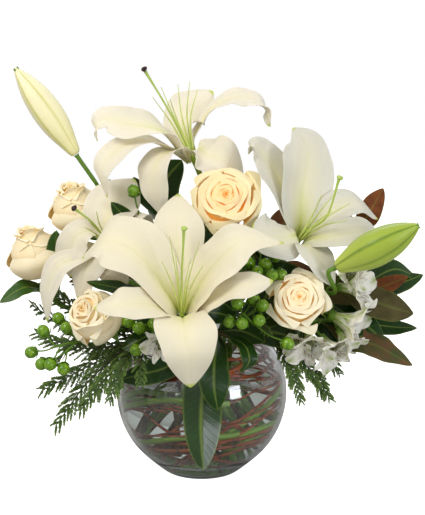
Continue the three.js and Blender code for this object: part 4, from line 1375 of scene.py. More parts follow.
@dataclass
class Rose:
    """A rose: a wound heart, petals that open wider further out, a calyx and a stem."""

    name: str
    centre: Point
    facing: Point
    neck: Polar
    radius: float
    opening: float = 1.0
    skin: FreshPetal = ROSE_IVORY
    leaves: tuple[tuple[float, Leaf], ...] = ()
    petals: int = 27
    stem_radius: float = 2.4
    hip: float = 5.5
    sepal: float = 15
    spin: float = 0.0
    rows: int = 26
    cols: int = 23
    height: float = field(init=False)
    pose: Pose = field(init=False)

    def __post_init__(self) -> None:
        """Works out the head's height and the pose of its base."""
        self.height = self.radius * (1.9 - 0.55 * self.opening)
        base = np.asarray(self.centre) - unit(self.facing) * self.height * 0.52
        self.pose = Pose(tuple(base), self.facing, self.spin)

    def petal(self, share: float, turn: float, twist: float) -> Array:
        """Gives the middle surface of a petal in the head's own frame.

        Args:
            share: How far out it stands, from 0 to 1.
            turn: The way that it faces.
            twist: A number from -1 to 1 that sets it apart from its neighbours.

        Returns:
            Rows of points from root to edge.
        """
        opened = self.opening
        flared = 0.4 + 0.6 * opened

        def mix(a: float, b: float) -> float:
            """Gives what lies between two values at the petal's share."""
            return a + (b - a) * share

        rim = 0.05 + (0.56 + 0.38 * opened) * share**1.25
        top = 0.88 + 0.12 * (1 - opened) + 0.1 * math.sin(math.pi * share) * opened
        top -= 0.26 * opened * share**2
        top -= (1 - opened) * (0.1 * (1 - share) + 0.32 * share**3)
        lip = 0.1 * min(1, 4 * share)
        belly = mix(0.15, 1 - 0.12 * opened)
        profile = (
            (mix(0.05, 0.12), mix(0.35, 0.02)),
            (max(0.13, 0.8 * belly), mix(0.55, 0.18)),
            (max(0.14, belly * (1 - 0.08 * opened)), top - 0.3),
            (max(rim - lip * flared, 0.04), top - 0.03),
            (rim, top - 0.35 * lip * flared + 0.03 * (1 - opened)),
        )
        line = smoothed(profile, self.rows)
        u, v = grid(self.rows, self.cols)
        across, edge = np.abs(u), ramp(v, 0.7, 1) ** 2
        roll = edge * (0.25 + 0.8 * across**2) * share**0.6 * flared
        spread = math.radians(mix(120, 60)) * (0.4 + 0.6 * np.minimum(1, 2 * v))
        spread = spread * (1 - 0.24 * ramp(v, 0.6, 1) ** 3 * share)
        wave = 0.03 * np.sin(5.4 * u + 5 * twist) * v**2
        flat = 0.12 * (u * u - 0.3) * v
        out = line[:, :1] * (1 + flat + 0.06 * u * (1.7 - share)) + wave + 0.07 * roll
        point = 0.03 * bell(u, 0.22) * edge * share
        high = line[:, 1:] * (1 - (0.03 + 0.06 * share) * u * u * v) - 0.06 * roll + point
        high = high + 0.022 * np.sin(4 * u + 9 * twist) * v**3
        high = high + (0.034 + 0.04 * share) * twist * v**2
        angle = turn + u * spread
        radius = self.radius * out
        return np.dstack([radius * np.cos(angle), radius * np.sin(angle), self.height * high])

    def build(self) -> None:
        """Makes the head, and the stem with its calyx and leaves."""
        draw = np.random.default_rng(len(self.name) + round(self.radius))
        piece = Piece()
        _, v = grid(self.rows, self.cols)
        for i in range(self.petals):
            share = (i / (self.petals - 1)) ** 1.35
            turn = i * GOLDEN_ANGLE + draw.uniform(-0.25, 0.25)
            shell = self.pose.apply(self.petal(share, turn, draw.uniform(-1, 1)))
            heart = (1 - share) ** 1.4 * (0.75 + 0.5 * (1 - v)) * (0.3 + 0.7 * self.opening)
            # Painted glow: the faces are tinted more towards each petal's base, most on the inner
            # petals, in place of light shining through the petals into the creases.
            deep = 0.8 * (1 - ramp(v, 0.1, 0.9)) * (1 - 0.7 * share)
            green = ramp(share, 0.7, 1) * (1 - ramp(v, 0, 0.6))
            inside = painted(np.clip(heart + deep, 0, 1))
            outside = painted(np.clip(0.6 * heart + 0.3 * deep, 0, 1), green)
            piece.sheet(shell, 0.3 + 0.35 * (1 - v), self.skin, outside, inside, seed=11.0 * i)
        # A filler dome under the inner rims, tinted from faint at its foot to full at its top:
        # painted glow in the gaps between the petals.
        full = 0.44 + 0.1 * self.opening
        packed = ((0.03, 0.2), (0.5, 0.25), (0.68, 0.45), (full, 0.64), (0.34, 0.74), (0.02, 0.77))
        packed = smoothed(packed, 16) * [self.radius, self.height]
        painted_gap_glow = painted(np.linspace(0.1, 1.2, 16).clip(0, 1))
        piece.lathe(packed, self.pose, self.skin, tint=painted_gap_glow)
        piece.make(f"rose_{self.name}_head", "rose_cream", f"rose_{self.name}_petals")
        self.build_stem()

    def build_stem(self) -> None:
        """Makes the stem, the hip, the five sepals and the leaves."""
        pose = self.pose
        axis = unit(self.facing)
        piece = Piece()
        path = NECK.head_stem(self.neck, np.asarray(pose.origin) - axis * 8, axis, straight=4)
        t = np.linspace(0, 1, len(path))
        thorn = 0.12 * bell((12 * t) % 1 - 0.5, 0.06)
        piece.tube(path, self.stem_radius * (1 - 0.1 * t + thorn), STEM, 12)
        hip = self.hip
        cup = ((0.2, -10), (2.4, -9), (hip, -5.6), (hip - 0.7, -3), (4, -1.4), (0.1, -1))
        piece.lathe(smoothed(cup, 18), pose, STEM, 20)
        u, v = grid(16, 9)
        width = 3.6 * (0.12 + 0.9 * swelling(v, 0.7, 1.1))
        reach = 3.5 + (self.sepal - 3.5) * v
        droop = -1.4 - 6 * v**1.6 - 0.5 * u * u * width
        add_sepals(piece, pose, (reach, u * width, droop), 36, 0.6, 5.0)
        add_leaves(piece, path, self.leaves)
        piece.make(f"rose_{self.name}_stalk", "stem_green", f"rose_{self.name}_stem")


# ---- branches and sprays


@dataclass
class Branch:
    """What every branch and spray has: a name, a place in the neck and a route above it."""

    name: str
    neck: Polar
    route: tuple[Point, ...]

    def ends(self) -> tuple[Array, Array]:
        """Gives the last two points of the route."""
        before, root = (np.asarray(p, float) for p in self.route[-2:])
        return before, root


@dataclass
class LeafyBranch(Branch):
    """A woody branch with broad evergreen leaves."""

    leaves: tuple[Leaf, ...]
    radius: float = 1.8

    def build(self) -> None:
        """Makes the branch and its leaves."""
        piece = Piece()
        path, t = NECK.woody(self.neck, self.route)
        joint = bell((9 * t) % 1 - 0.5, 0.08)
        size = self.radius * (1 - 0.3 * t + 0.15 * joint)
        piece.tube(path, size, WOOD, tint=painted(0.7 * joint))
        for n, leaf in enumerate(self.leaves):
            leaf.add_to(piece, 6.0 * n)
            stalk = Line(leaf.rib).at(np.linspace(0, 0.16, 8))
            piece.tube(stalk, np.linspace(1.3, 0.7, 8), WOOD, 8)
        piece.make(f"{self.name}_branch", "magnolia_green", self.name)


@dataclass(frozen=True)
class Frond:
    """A flat cedar frond: a thin rib with side shoots that carry small shoots of their own."""

    rib: tuple[Point, ...]
    inner: Point = (0, -0.8, 0.6)
    reach: float = 19
    shoots: int = 15
    twigs: int = 10

    def add_to(self, piece: Piece, seed: int) -> None:
        """Adds the frond to a piece.

        Args:
            piece: The piece.
            seed: What its small differences are drawn from.
        """
        draw = np.random.default_rng(seed)
        line = Line(self.rib)
        across = unit(np.cross(self.inner, line.knots[-1] - line.knots[0]))
        t = np.linspace(0, 1, 30)
        aged = painted(0.2 * t, 0.6 * (1 - t))
        piece.tube(line.at(t), np.linspace(1.1, 0.45, 30), CEDAR, 6, aged)
        twigs = []
        for n in range(self.shoots * 2):
            s = 1 if n % 2 else -1
            share = (n + 0.5 + draw.uniform(-0.25, 0.25)) / (2 * self.shoots)
            at, along = line.at(share)[0], line.along(share)[0]
            side = unit(across - along * (across @ along))
            face = np.cross(side, along)
            long = self.reach * float(swelling(np.array(0.1 + 0.8 * share), 0.6, 0.8))
            long *= draw.uniform(0.72, 1.08)
            way = side * s * draw.uniform(0.5, 0.72) + along + face * draw.uniform(-0.28, 0.12)
            way = unit(way)
            drop = np.array([0, 0, -0.16 * long])
            path = Line([at, at + way * long * 0.5 + drop * 0.2, at + way * long * 0.95 + drop])
            shoot = path.sweep(7)
            tone = painted(np.linspace(0.05, 0.6, 7))
            piece.tube(shoot, np.linspace(0.55, 0.28, 7), CEDAR, 4, tone, seed=n)
            lead = unit(shoot[-1] - shoot[0])
            out = unit(np.cross(face, lead))
            for m in range(self.twigs):
                place = (m + 0.8) / (self.twigs + 0.3)
                start = path.at(place)[0]
                size = min(long * 0.34, 4.6) * (1.08 - 0.65 * place) * draw.uniform(0.75, 1.15)
                for q in (-1, 1):
                    spread = lead + out * q * draw.uniform(0.5, 0.75)
                    spread = spread + face * draw.uniform(-0.2, 0.2)
                    young = draw.uniform(0.05, 0.8) * (0.4 + 0.6 * place)
                    twigs.append((start, start + unit(spread) * size, face, [young, 0.0]))
            end = shoot[-1]
            twigs.append((end - lead * 0.5, end + lead * long * 0.12, face, [0.9, 0.0]))
        roots, tips, normals, tints = (np.array(part) for part in zip(*twigs))
        piece.spindles(roots, tips, normals, 1.1, 0.8, tints)


@dataclass
class CedarBranch(Branch):
    """A cedar branch: a woody stem with drooping flat fronds."""

    fronds: tuple[Frond, ...]
    radius: float = 1.8

    def build(self) -> None:
        """Makes the branch and its fronds."""
        piece = Piece()
        path, t = NECK.woody(self.neck, self.route)
        piece.tube(path, self.radius * (1 - 0.35 * t), CEDAR, 8, painted(0 * t, 1 - 0.3 * t))
        for n, frond in enumerate(self.fronds):
            frond.add_to(piece, 40 + n + round(self.neck[1]))
        piece.make(f"{self.name}_branch", "cedar_green", self.name)


@dataclass(frozen=True)
class Fork:
    """A fork of a berry spray: where it stands, or None at the stem's end, and its berries."""

    berries: tuple[Point, ...]
    at: Point | None = None
    low: bool = False  # whether it grows from the stem's bend rather than its end


@dataclass
class BerrySpray(Branch):
    """A spray of glossy green berries on thin stalks."""

    forks: tuple[Fork, ...]
    leaves: tuple[Leaf, ...] = ()
    radius: float = 5.2
    stalk: float = 0.7
    stem: float = 1.6
    step: float = 2.4

    def build(self) -> None:
        """Makes the stem, the forks, the berries and the leaves."""
        piece = Piece()
        path, t = NECK.woody(self.neck, self.route)
        piece.tube(path, self.stem * (1 - 0.25 * t), STEM)
        before, root = self.ends()
        for fork in self.forks:
            at = root if fork.at is None else np.asarray(fork.at, float)
            back = unit((before if fork.at is None else root) - at) * self.step
            if fork.at is not None:
                start = before if fork.low else root
                piece.tube(np.linspace(start, at, 6), np.linspace(1.2, 0.9, 6), STEM, 8)
            for i, berry in enumerate(fork.berries):
                self.add_berry(piece, at + back * (i + 0.3), np.asarray(berry, float), i)
        for n, leaf in enumerate(self.leaves):
            leaf.add_to(piece, 5.0 * n)
        piece.make(f"{self.name}_spray", "berry_green", self.name)

    def add_berry(self, piece: Piece, start: Array, berry: Array, number: int) -> None:
        """Adds a berry with its stalk and its small sepals.

        Args:
            piece: The spray's piece.
            start: Where the stalk grows.
            berry: The berry's middle.
            number: The berry's number on its fork.
        """
        way = unit(berry - start)
        bow = np.array(UP) * np.linalg.norm(berry - start) * 0.06
        line = Line([start, (start + berry) / 2 - bow, berry - way * self.radius]).sweep(14)
        piece.tube(line, self.stalk * (1 + 0.5 * bell(np.linspace(1, 0, 14), 0.12)), STEM, 8)
        shares = ((0.05, -1), (0.55, -0.88), (0.93, -0.45), (1, 0.05), (0.88, 0.55), (0.5, 0.93))
        rows = smoothed((*shares, (0.16, 1.04), (0.02, 1.14)), 22) * self.radius
        scar = painted(ramp(np.linspace(0, 1, 22), 0.9, 0.95))
        pose = Pose(tuple(berry), tuple(way))
        piece.lathe(rows, pose, BERRY, tint=scar, seed=7.0 * number)
        u, v = grid(8, 5)
        width = 1.9 * (0.25 + 0.8 * swelling(v, 0.6, 0.9))
        tilt = 1.25 * v - math.radians(88)
        out, up = ((self.radius + 0.5 + 0.8 * v) * turn(tilt) for turn in (np.cos, np.sin))
        add_sepals(piece, pose, (out, u * width, up), 20 * number, 0.4)


@dataclass(frozen=True)
class SmallBloom:
    """One small striped lily: its base, the way that it faces, its spin and its size."""

    base: Point
    facing: Point
    spin: float = 0.0
    size: float = 1.0
    reach: float = 25
    tepal: float = 7.4

    def add_to(self, piece: Piece) -> None:
        """Adds three broad tepals with green tips, three streaked ones, and the stamens.

        Args:
            piece: The cluster's piece.
        """
        pose = Pose(self.base, self.facing, self.spin)
        u, v = grid(28, 15)
        for i in range(6):
            behind = i % 2
            far = self.reach * (1 if behind else 0.95)
            low = 2.6 - 1.4 * behind
            points = ((2, 0, low), (0.24 * far, 0, 0.55 * far), (0.7 * far, 0, far - 2 * behind))
            rise, fall, half = (1.7, 0.6, self.tepal) if behind else (1.5, 0.9, self.tepal * 0.6)
            width = half * (0.15 + 0.87 * swelling(v, rise, fall))
            frill = np.sin(13 * v + 2 * i + 1.7 * np.sign(u)) + 0.6 * np.sin(27 * v + i)
            cup = (0.5 * u * u - 0.12 * bell(u, 0.12)) * width * (1 - 0.8 * v)
            lift = cup + 1.5 * frill * u * u * v * v - 3 * v**4
            middle = Rib(points, UP).blade(u * width, lift)
            lines = np.clip(np.cos(u * 17 + 3 * v) - 0.5, 0, 1) * 2.6 * bell(v - 0.62, 0.24)
            dashes = np.clip(np.sin(31 * v + 5 * np.round(u * 2.7)) + 0.4, 0, 1)
            streaks = (0.4 if behind else 1) * np.clip(1.3 * lines * dashes, 0, 1)
            green = bell(1 - v, 0.16) * bell(u, 0.5) if behind else 0.7 * bell(v - 0.3, 0.3)
            back = 0.7 * bell(u, 0.18) + 0.9 * (1 - ramp(v, 0.1, 0.6))
            tint = painted(streaks, np.clip(green, 0, 1))
            under = painted(0.6 * streaks, np.clip(green + back, 0, 1))
            turn = Matrix.Rotation(math.radians(60 * i), 3, "Z")
            local = middle @ np.array(turn).T * self.size
            piece.sheet(pose.apply(local), 0.35, STRIPED, tint, under, seed=13.0 * i)
        cone = smoothed(((0.8, 0), (2.4, 0.6), (3.2, 2.4), (2.9, 4.4), (0.4, 4.6)), 12)
        piece.lathe(cone * self.size, pose, STEM, 12)
        bead = smoothed(((0.05, -1.1), (0.8, 0), (0.05, 1.1)), 7)
        for k in range(5):
            way = level(72 * k + 15)
            high = way * 4.4 + [0, -1, 12.5 + k % 2]
            line = Line([way * 1.2 + [0, 0, 3], way * 3 + [0, 0, 8.5], high]).sweep(10)
            line = pose.apply(line * self.size)
            piece.tube(line, np.linspace(0.42, 0.3, 10), PISTIL, 6)
            piece.lathe(bead, Pose(tuple(line[-1]), self.facing), WOOD, 8)


@dataclass
class SmallLilies(Branch):
    """The small striped lilies of one stem, in clusters, each bloom on a stalk of its own."""

    clusters: tuple[tuple[SmallBloom, ...], ...]
    stem: float = 1.7
    stalk: float = 1.0
    step: float = 3.0

    def build(self) -> None:
        """Makes the stem, the stalks and the blooms."""
        piece = Piece()
        path, t = NECK.woody(self.neck, self.route)
        piece.tube(path, self.stem * (1 - 0.2 * t), STEM)
        before, root = self.ends()
        down = unit(before - root) * self.step
        for i, cluster in enumerate(self.clusters):
            flowers = Piece()
            for bloom in cluster:
                back = unit(bloom.facing)
                end = np.asarray(bloom.base) - back * 0.35
                line = Line([root + down * (i + 0.3), end - back * 7, end]).sweep(18)
                piece.tube(line, self.stalk * np.linspace(1, 1.25, 18), STEM, 8)
                bloom.add_to(flowers)
            name = f"{self.name}_flower_{i + 1}"
            flowers.make(name, "striped_white", f"{self.name}_bloom_{i + 1}")
        piece.make(f"{self.name}_stalks", "stem_green", f"{self.name}_stem")


# ---- the studio


@dataclass
class Studio:
    """The pale floor, the soft lights and the camera."""

    target: Point = (9.7, 0, 195.2)
    elevation: float = 8
    distance: float = 1300
    lens: float = 102.6
    floor: float = 6000
    sky: float = 0.61  # how brightly the sky lights things from straight above
    horizon: float = 0.54  # the same from the sides; to the viewer it is plain white

    def build(self) -> None:
        """Makes the camera, the floor, the sky and the lights."""
        scene = bpy.context.scene
        scene.view_settings.view_transform = "Standard"
        data = bpy.data.cameras.new("photo_camera")
        data.lens = self.lens
        data.sensor_width = 36
        data.clip_end = 30
        angle = math.radians(self.elevation)
        back = Vector((0, -math.cos(angle), math.sin(angle))) * self.distance
        scene.camera = self.hang("photo_camera", data, Vector(self.target) + back)
        half = self.floor / 2 * MM
        mesh = bpy.data.meshes.new("paper_floor")
        corners = [(-half, -half, 0), (half, -half, 0), (half, half, 0), (-half, half, 0)]
        mesh.from_pydata(corners, [], [(0, 1, 2, 3)])
        mesh.materials.append(StudioPaper("studio_paper").material())
        made = bpy.data.objects.new("paper_floor", mesh)
        scene.collection.objects.link(made)
        self.paint_sky(scene)
        lights = (
            ("key", (-650, -850, 1150), 600, 9.5, "#FFFAF0"),
            ("fill", (880, -880, 240), 340, 4.3, "#F4F6FF"),
            ("back", (200, 900, 1000), 700, 3.0, "#FFFFFF"),
        )
        for name, place, size, power, colour in lights:
            lamp = bpy.data.lights.new(name, "AREA")
            lamp.size = size * MM
            lamp.energy = power
            lamp.color = linear(colour)[:3]
            self.hang(name, lamp, Vector(place))

    def hang(self, name: str, data: bpy.types.ID, place: Vector) -> bpy.types.Object:
        """Hangs a camera or lamp at a place, aimed at the arrangement.

        Args:
            name: Its name.
            data: The camera or lamp.
            place: The place.

        Returns:
            Its object.
        """
        made = bpy.data.objects.new(name, data)
        made.location = place * MM
        made.rotation_euler = (Vector(self.target) - place).to_track_quat("-Z", "Y").to_euler()
        bpy.context.scene.collection.objects.link(made)
        return made

    def paint_sky(self, scene: bpy.types.Scene) -> None:
        """Makes the sky: white to the viewer, and dimmer as a light.

        Args:
            scene: The scene.
        """
        world = bpy.data.worlds.new("white_studio")
        world.use_nodes = True
        world.node_tree.nodes.clear()
        sky = Palette(world.node_tree)
        height = sky.add("SeparateXYZ", {0: sky.add("TexCoord", out="Generated")}, out="Z")
        light = sky.add("MapRange", {0: height, 2: 0.9, 3: self.horizon, 4: self.sky})
        seen = sky.add("LightPath", out="Is Camera Ray")
        glow = sky.add("MapRange", {0: seen, 3: light, 4: 1.0})
        backdrop = sky.add("Background", {"Color": linear("#FFFFFF"), "Strength": glow})
        sky.add("OutputWorld", {"Surface": backdrop})
        scene.world = world


# ---- the arrangement

LILIES = (
    Lily("front", (-16, -88, 165), (-0.02, -0.74, 0.67), (35, 261), (
        Petal(((-13, -120, 156), (-10, -132, 137), (-8, -122, 106)), 23.5, 0.8, 1.2, 0.1, rise=1.2,
            fall=0.82, cup=0.6, groove=2.6),
        Petal(((-41, -108, 172), (-63, -122, 175), (-86, -118, 170)), 14.5, 2.8, 1.8, 0.3),
        Petal(((-50, -98, 211), (-78, -93, 223), (-98, -84, 207)), 27, 1.8, 1.3, groove=2),
        Petal(((-19, -82, 203), (-20, -74, 235), (-19, -55, 257)), 21.5, 1.0, 1.4, 0.5),
        Petal(((9, -100, 201), (33, -104, 223), (68, -96, 221)), 20.5, 3.4, 2.0, 0.6, rise=1.3,
            fall=1.1, groove=2),
        Petal(((9, -104, 177), (32, -112, 188), (59, -106, 191)), 14.5, 3.2, 2.0, 0.2),
    ), ((-15, -112, 200), (-13, -126, 236)),
        ((-25, -112, 228), (-31, -118, 209), (-1, -114, 224), (2, -122, 206), (-20, -124, 215),
            (-8, -128, 212))),
    Lily("top", (-12, -14, 294), (-0.4, -0.3, 0.86), (4, 270), (
        Petal(
            ((-34, -26, 308), (-62, -32, 315), (-83, -33, 319), (-90, -34, 310), (-89, -30, 300)),
            17, 2.4, 2.4, 0.3, (-0.2, -1, 0.35), rise=1.15, fall=1.75),
        Petal(((-44, -30, 300), (-72, -42, 293), (-84, -48, 276), (-80, -44, 253)), 14.5, 1.2, 1.4,
            0.1, (-0.6, -0.8, 0.5)),
        Petal(((-30, -36, 290), (-39, -48, 279), (-40, -50, 260), (-34, -45, 238)), 19, 1.6),
        Petal(((4, -18, 288), (21, -24, 282), (37, -17, 260)), 21, 1.6, 1.6, 0.2,
            (0.1, -0.8, 0.6)),
        Petal(((-2, 0, 310), (9, 2, 326), (27, 4, 336), (44, 4, 335), (56, 0, 326), (60, -4, 311)),
            11.5, 1.8, 2.4, 0.5, (0.3, -0.5, 0.8), fall=0.6),
        Petal(((-17, 4, 310), (-14, 9, 320), (-5, 13, 329), (10, 17, 341)), 19, 1.6, 1.8, 0.8,
            (0, -1, 0.2), rise=1.2, fall=0.8),
    ), ((-27, -30, 325), (-48, -40, 361)),
        ((-41, -44, 338), (-34, -34, 346), (-20, -22, 348), (-10, -12, 350), (-26, -48, 336),
            (-3, -22, 344)), Stigma.DARK, LILY_IVORY),
    Lily("right", (87, -48, 223), (0.35, -0.65, 0.67), (22, 345), (
        Petal(((86, -43, 256), (91, -36, 284), (88, -30, 302), (79, -26, 311)), 24.5, 1.4, 1.4,
            0.1, rise=1.0, fall=0.9),
        Petal(((72, -42, 254), (60, -40, 279), (51, -42, 291), (43, -46, 296), (40, -46, 290)), 19,
            1.2, 1.8, 0.4, rise=0.9, fall=1.3),
        Petal(((71, -64, 221), (56, -72, 224), (42, -74, 229)), 23, 1.0, 1.2, 0.3,
            (0.1, -0.75, 0.65), fall=0.6, cup=-0.3),
        Petal(((92, -66, 213), (101, -76, 201), (112, -72, 181)), 14, 1.2, 1.4),
        Petal(((112, -68, 223), (135, -66, 226), (154, -56, 216)), 15, 1.2, 1.6, 0.7,
            (0, -0.7, 0.7)),
        Petal(((112, -46, 242), (132, -38, 248), (152, -29, 233)), 14, 1.4, 1.6, 0.2,
            (0, -0.8, 0.6)),
    ), ((104, -74, 239), (114, -84, 273)),
        ((101, -70, 258), (124, -74, 251), (121, -86, 238), (108, -90, 246), (96, -84, 250),
            (113, -66, 260)), Stigma.GREEN, LILY_PAINTED_SHADE,
        Bud("lily_bud_right", "bud_green", 2 / 3, ((94, -36, 174), (113, -62, 174)),
            (111.8, -88.4, 199.3), (178, -100, 236), 15, BUD_GREEN)),
    Lily("left", (-80, -40, 214), (-0.6, -0.5, 0.62), (22, 205), (
        Petal(((-80, -32, 234), (-70, -24, 252), (-58, -15, 266)), 22, 1.4, 1.4, 0.2, TO_VIEWER),
        Petal(((-63, -30, 230), (-52, -24, 238), (-41, -15, 222)), 16, 1.2, 1.4, 0.5),
        Petal(((-92, -50, 206), (-98, -56, 192), (-105, -52, 166)), 16, 1.0, 1.4, 0.1, TO_VIEWER,
            rise=1.1),
        Petal(((-82, -54, 199), (-74, -58, 192), (-63, -50, 178)), 13, 1.0, 1.4, 0.4),
        Petal(((-98, -50, 204), (-120, -54, 196), (-131, -53, 175), (-132, -50, 147)), 11, 1.0,
            1.6, 0.7, (-0.4, -0.9, 0.2)),
        Petal(((-95, -42, 224), (-106, -44, 220), (-113, -44, 200), (-112, -44, 184)), 15, 1.2,
            1.4, 0.3, TO_VIEWER),
    ), ((-92, -56, 233), (-106, -66, 246)),
        ((-98, -60, 240), (-97, -72, 231), (-88, -60, 243), (-91, -74, 224)), Stigma.DARK,
        LILY_IVORY,
        Bud("lily_bud_left", "bud_cream", 2 / 3, ((-72, -2, 222), (-86, -8, 252)),
            (-108, -22, 288), (-159, -24, 362), 12.5, BUD_CREAM), (
        (0.8, Leaf(((-63, -30, 229), (-77, -35, 248)), 8, TO_VIEWER)),
        (0.3, Leaf(((-63, -62, 176), (-96, -68, 184)), 8)),
    )),
)

ROSES = (
    Rose("high", (21, -54, 252), (-0.02, -0.9, 0.42), (22, 296), 31, skin=ROSE_APRICOT, spin=20),
    Rose("right", (80, -80, 169), (0.08, -0.88, 0.45), (36, 316), 28, 0.9, spin=60),
    Rose("far_left", (-146, -14, 203), (-0.28, -0.2, 0.94), (36, 180), 29.5, 0.15, leaves=(
        (1.0, Leaf(((-154, -22, 172), (-175, -30, 160)), 8, finish=ROSE_LEAF)),
        (0.9, Leaf(((-126, -30, 204), (-124, -40, 224)), 8, TO_VIEWER, ROSE_LEAF)),
    ), petals=17),
    Rose("upper_left", (-111, -4, 242), (-0.2, -0.35, 0.9), (22, 178), 28, 0.2, leaves=(
        (1.0, Leaf(((-110, -14, 212), (-119, -22, 200)), 7, finish=ROSE_LEAF)),
        (2 / 3, Leaf(((-84, 30, 206), (-88, 52, 200)), 9, (0, 0.5, 0.8), ROSE_LEAF)),
    ), petals=17),
    Rose("low_left", (-91, -74, 157), (-0.5, -0.72, 0.48), (36, 214), 27, 0.5, spin=25, petals=24),
)

BRANCHES = (
    LeafyBranch("magnolia_right", (36, 8), ((62, -6, 152), (98, -22, 162), (136, -34, 176)), (
        Leaf(((136, -34, 176), (149, -22, 179), (170, -16, 187), (188, -14, 180)), 11),
        Leaf(((136, -34, 176), (156, -24, 171), (176, -20, 176), (194, -16, 182)), 10),
        Leaf(((130, -31, 174), (146, -36, 172), (161, -38, 177), (178, -38, 184)), 8, TO_VIEWER,
            MAGNOLIA_RUST, True),
        Leaf(((122, -29, 171), (138, -44, 167), (160, -50, 160), (182, -46, 153)), 16, FORWARD,
            MAGNOLIA_OLIVE, True),
        Leaf(((112, -26, 167), (139, -34, 145), (164, -32, 139), (187, -34, 138)), 9),
        Leaf(((98, -22, 162), (123, -50, 136), (151, -54, 126), (181, -52, 109)), 12, FORWARD,
            MAGNOLIA_MIXED, True, 2.4),
        Leaf(((104, -24, 164), (124, -40, 152), (142, -44, 142), (158, -42, 128)), 13),
        Leaf(((96, -22, 162), (98, -40, 180), (116, -46, 174), (136, -48, 162)), 13, TO_VIEWER,
            MAGNOLIA_OLIVE, True),
        Leaf(((90, -20, 160), (98, -38, 150), (112, -46, 138), (120, -50, 124)), 12, TO_VIEWER),
        Leaf(((84, -16, 158), (86, -34, 148), (88, -46, 128)), 12, TO_VIEWER),
    )),
    LeafyBranch("magnolia_upper", (24, 20), ((44, 6, 170), (86, -2, 200), (134, -18, 219)), (
        Leaf(((134, -18, 219), (145, -20, 236), (158, -16, 258)), 10, TO_VIEWER, MAGNOLIA_RUST,
            True),
        Leaf(((110, -11, 210), (122, 0, 232), (126, 8, 254)), 10),
        Leaf(((52, 4, 176), (64, -34, 186), (78, -42, 182), (95, -43, 172)), 13, TO_VIEWER),
        Leaf(((60, 2, 184), (44, -22, 204), (38, -34, 216)), 12, TO_VIEWER),
        Leaf(((64, 1, 188), (62, -24, 206), (57, -36, 226)), 13, TO_VIEWER),
    )),
    LeafyBranch("magnolia_front", (36, 284), ((11, -43, 136.5), (14, -54, 138)), (
        Leaf(((14, -54, 138), (8, -70, 127), (2, -88, 101), (0, -92, 66), (2, -101, 31)), 16.5,
            TO_VIEWER, MAGNOLIA_WAXED, False, 1.3, 1.3, 0.75, 0.1, 0.45),
        Leaf(((13, -51, 137.5), (13, -70, 130), (11, -94, 118), (11, -102, 101), (14, -100, 82)),
            13.5, (0.25, -0.95, 0.2), MAGNOLIA, False, 0.8, 1.2, 0.8),
        Leaf(((11, -43, 136.5), (-10, -58, 124), (-30, -70, 111), (-52, -66, 104), (-71, -56, 97)),
            11, TO_VIEWER, MAGNOLIA, False, 1.0),
        Leaf(((14, -52, 137), (26, -66, 136), (38, -80, 130), (40, -85, 119), (33, -84, 110)), 9,
            (0.6, -0.8, 0.3), MAGNOLIA, False, 1.0),
        Leaf(((12, -47, 137), (34, -62, 141), (54, -74, 134)), 10, TO_VIEWER),
        Leaf(((11, -43, 136.5), (-16, -56, 140), (-42, -62, 136)), 11, TO_VIEWER),
        Leaf(((11, -43, 136.5), (-4, -50, 150), (-18, -58, 168)), 11, TO_VIEWER),
    )),
    LeafyBranch("magnolia_middle", (12, 200), ((-16, -4, 180), (-34, 2, 236)), (
        Leaf(((-34, 2, 236), (-34, -10, 260), (-17, -22, 283)), 15, TO_VIEWER),
        Leaf(((-31, 1, 228), (-50, 6, 248), (-60, 4, 266)), 8),
        Leaf(((-24, 0, 208), (-40, 22, 226), (-46, 40, 250)), 14, BACK),
        Leaf(((-20, -2, 196), (-4, -22, 222), (4, -28, 246)), 13, TO_VIEWER),
        Leaf(((-16, -4, 180), (8, -26, 206), (32, -34, 238)), 16, TO_VIEWER),
    )),
    LeafyBranch("magnolia_back_left", (34, 142), ((-44, 36, 160), (-62, 52, 186)), (
        Leaf(((-62, 52, 186), (-82, 62, 214), (-104, 64, 228)), 15, BACK),
        Leaf(((-60, 50, 183), (-58, 76, 206), (-64, 100, 214)), 14, (0, 0.2, 1)),
        Leaf(((-54, 45, 174), (-88, 50, 176), (-122, 46, 166)), 14, BACK),
        Leaf(((-49, 40, 167), (-60, 72, 164), (-66, 100, 146)), 14, BACK),
    )),
    LeafyBranch("magnolia_back_right", (34, 48), ((44, 40, 160), (60, 54, 190)), (
        Leaf(((60, 54, 190), (76, 52, 222), (98, 42, 246)), 14, BACK),
        Leaf(((58, 52, 186), (56, 78, 208), (60, 104, 214)), 14, (0, 0.2, 1)),
        Leaf(((53, 48, 177), (88, 44, 178), (122, 36, 164)), 14, BACK),
        Leaf(((48, 43, 168), (66, 72, 164), (74, 100, 142)), 14, BACK),
    )),
)

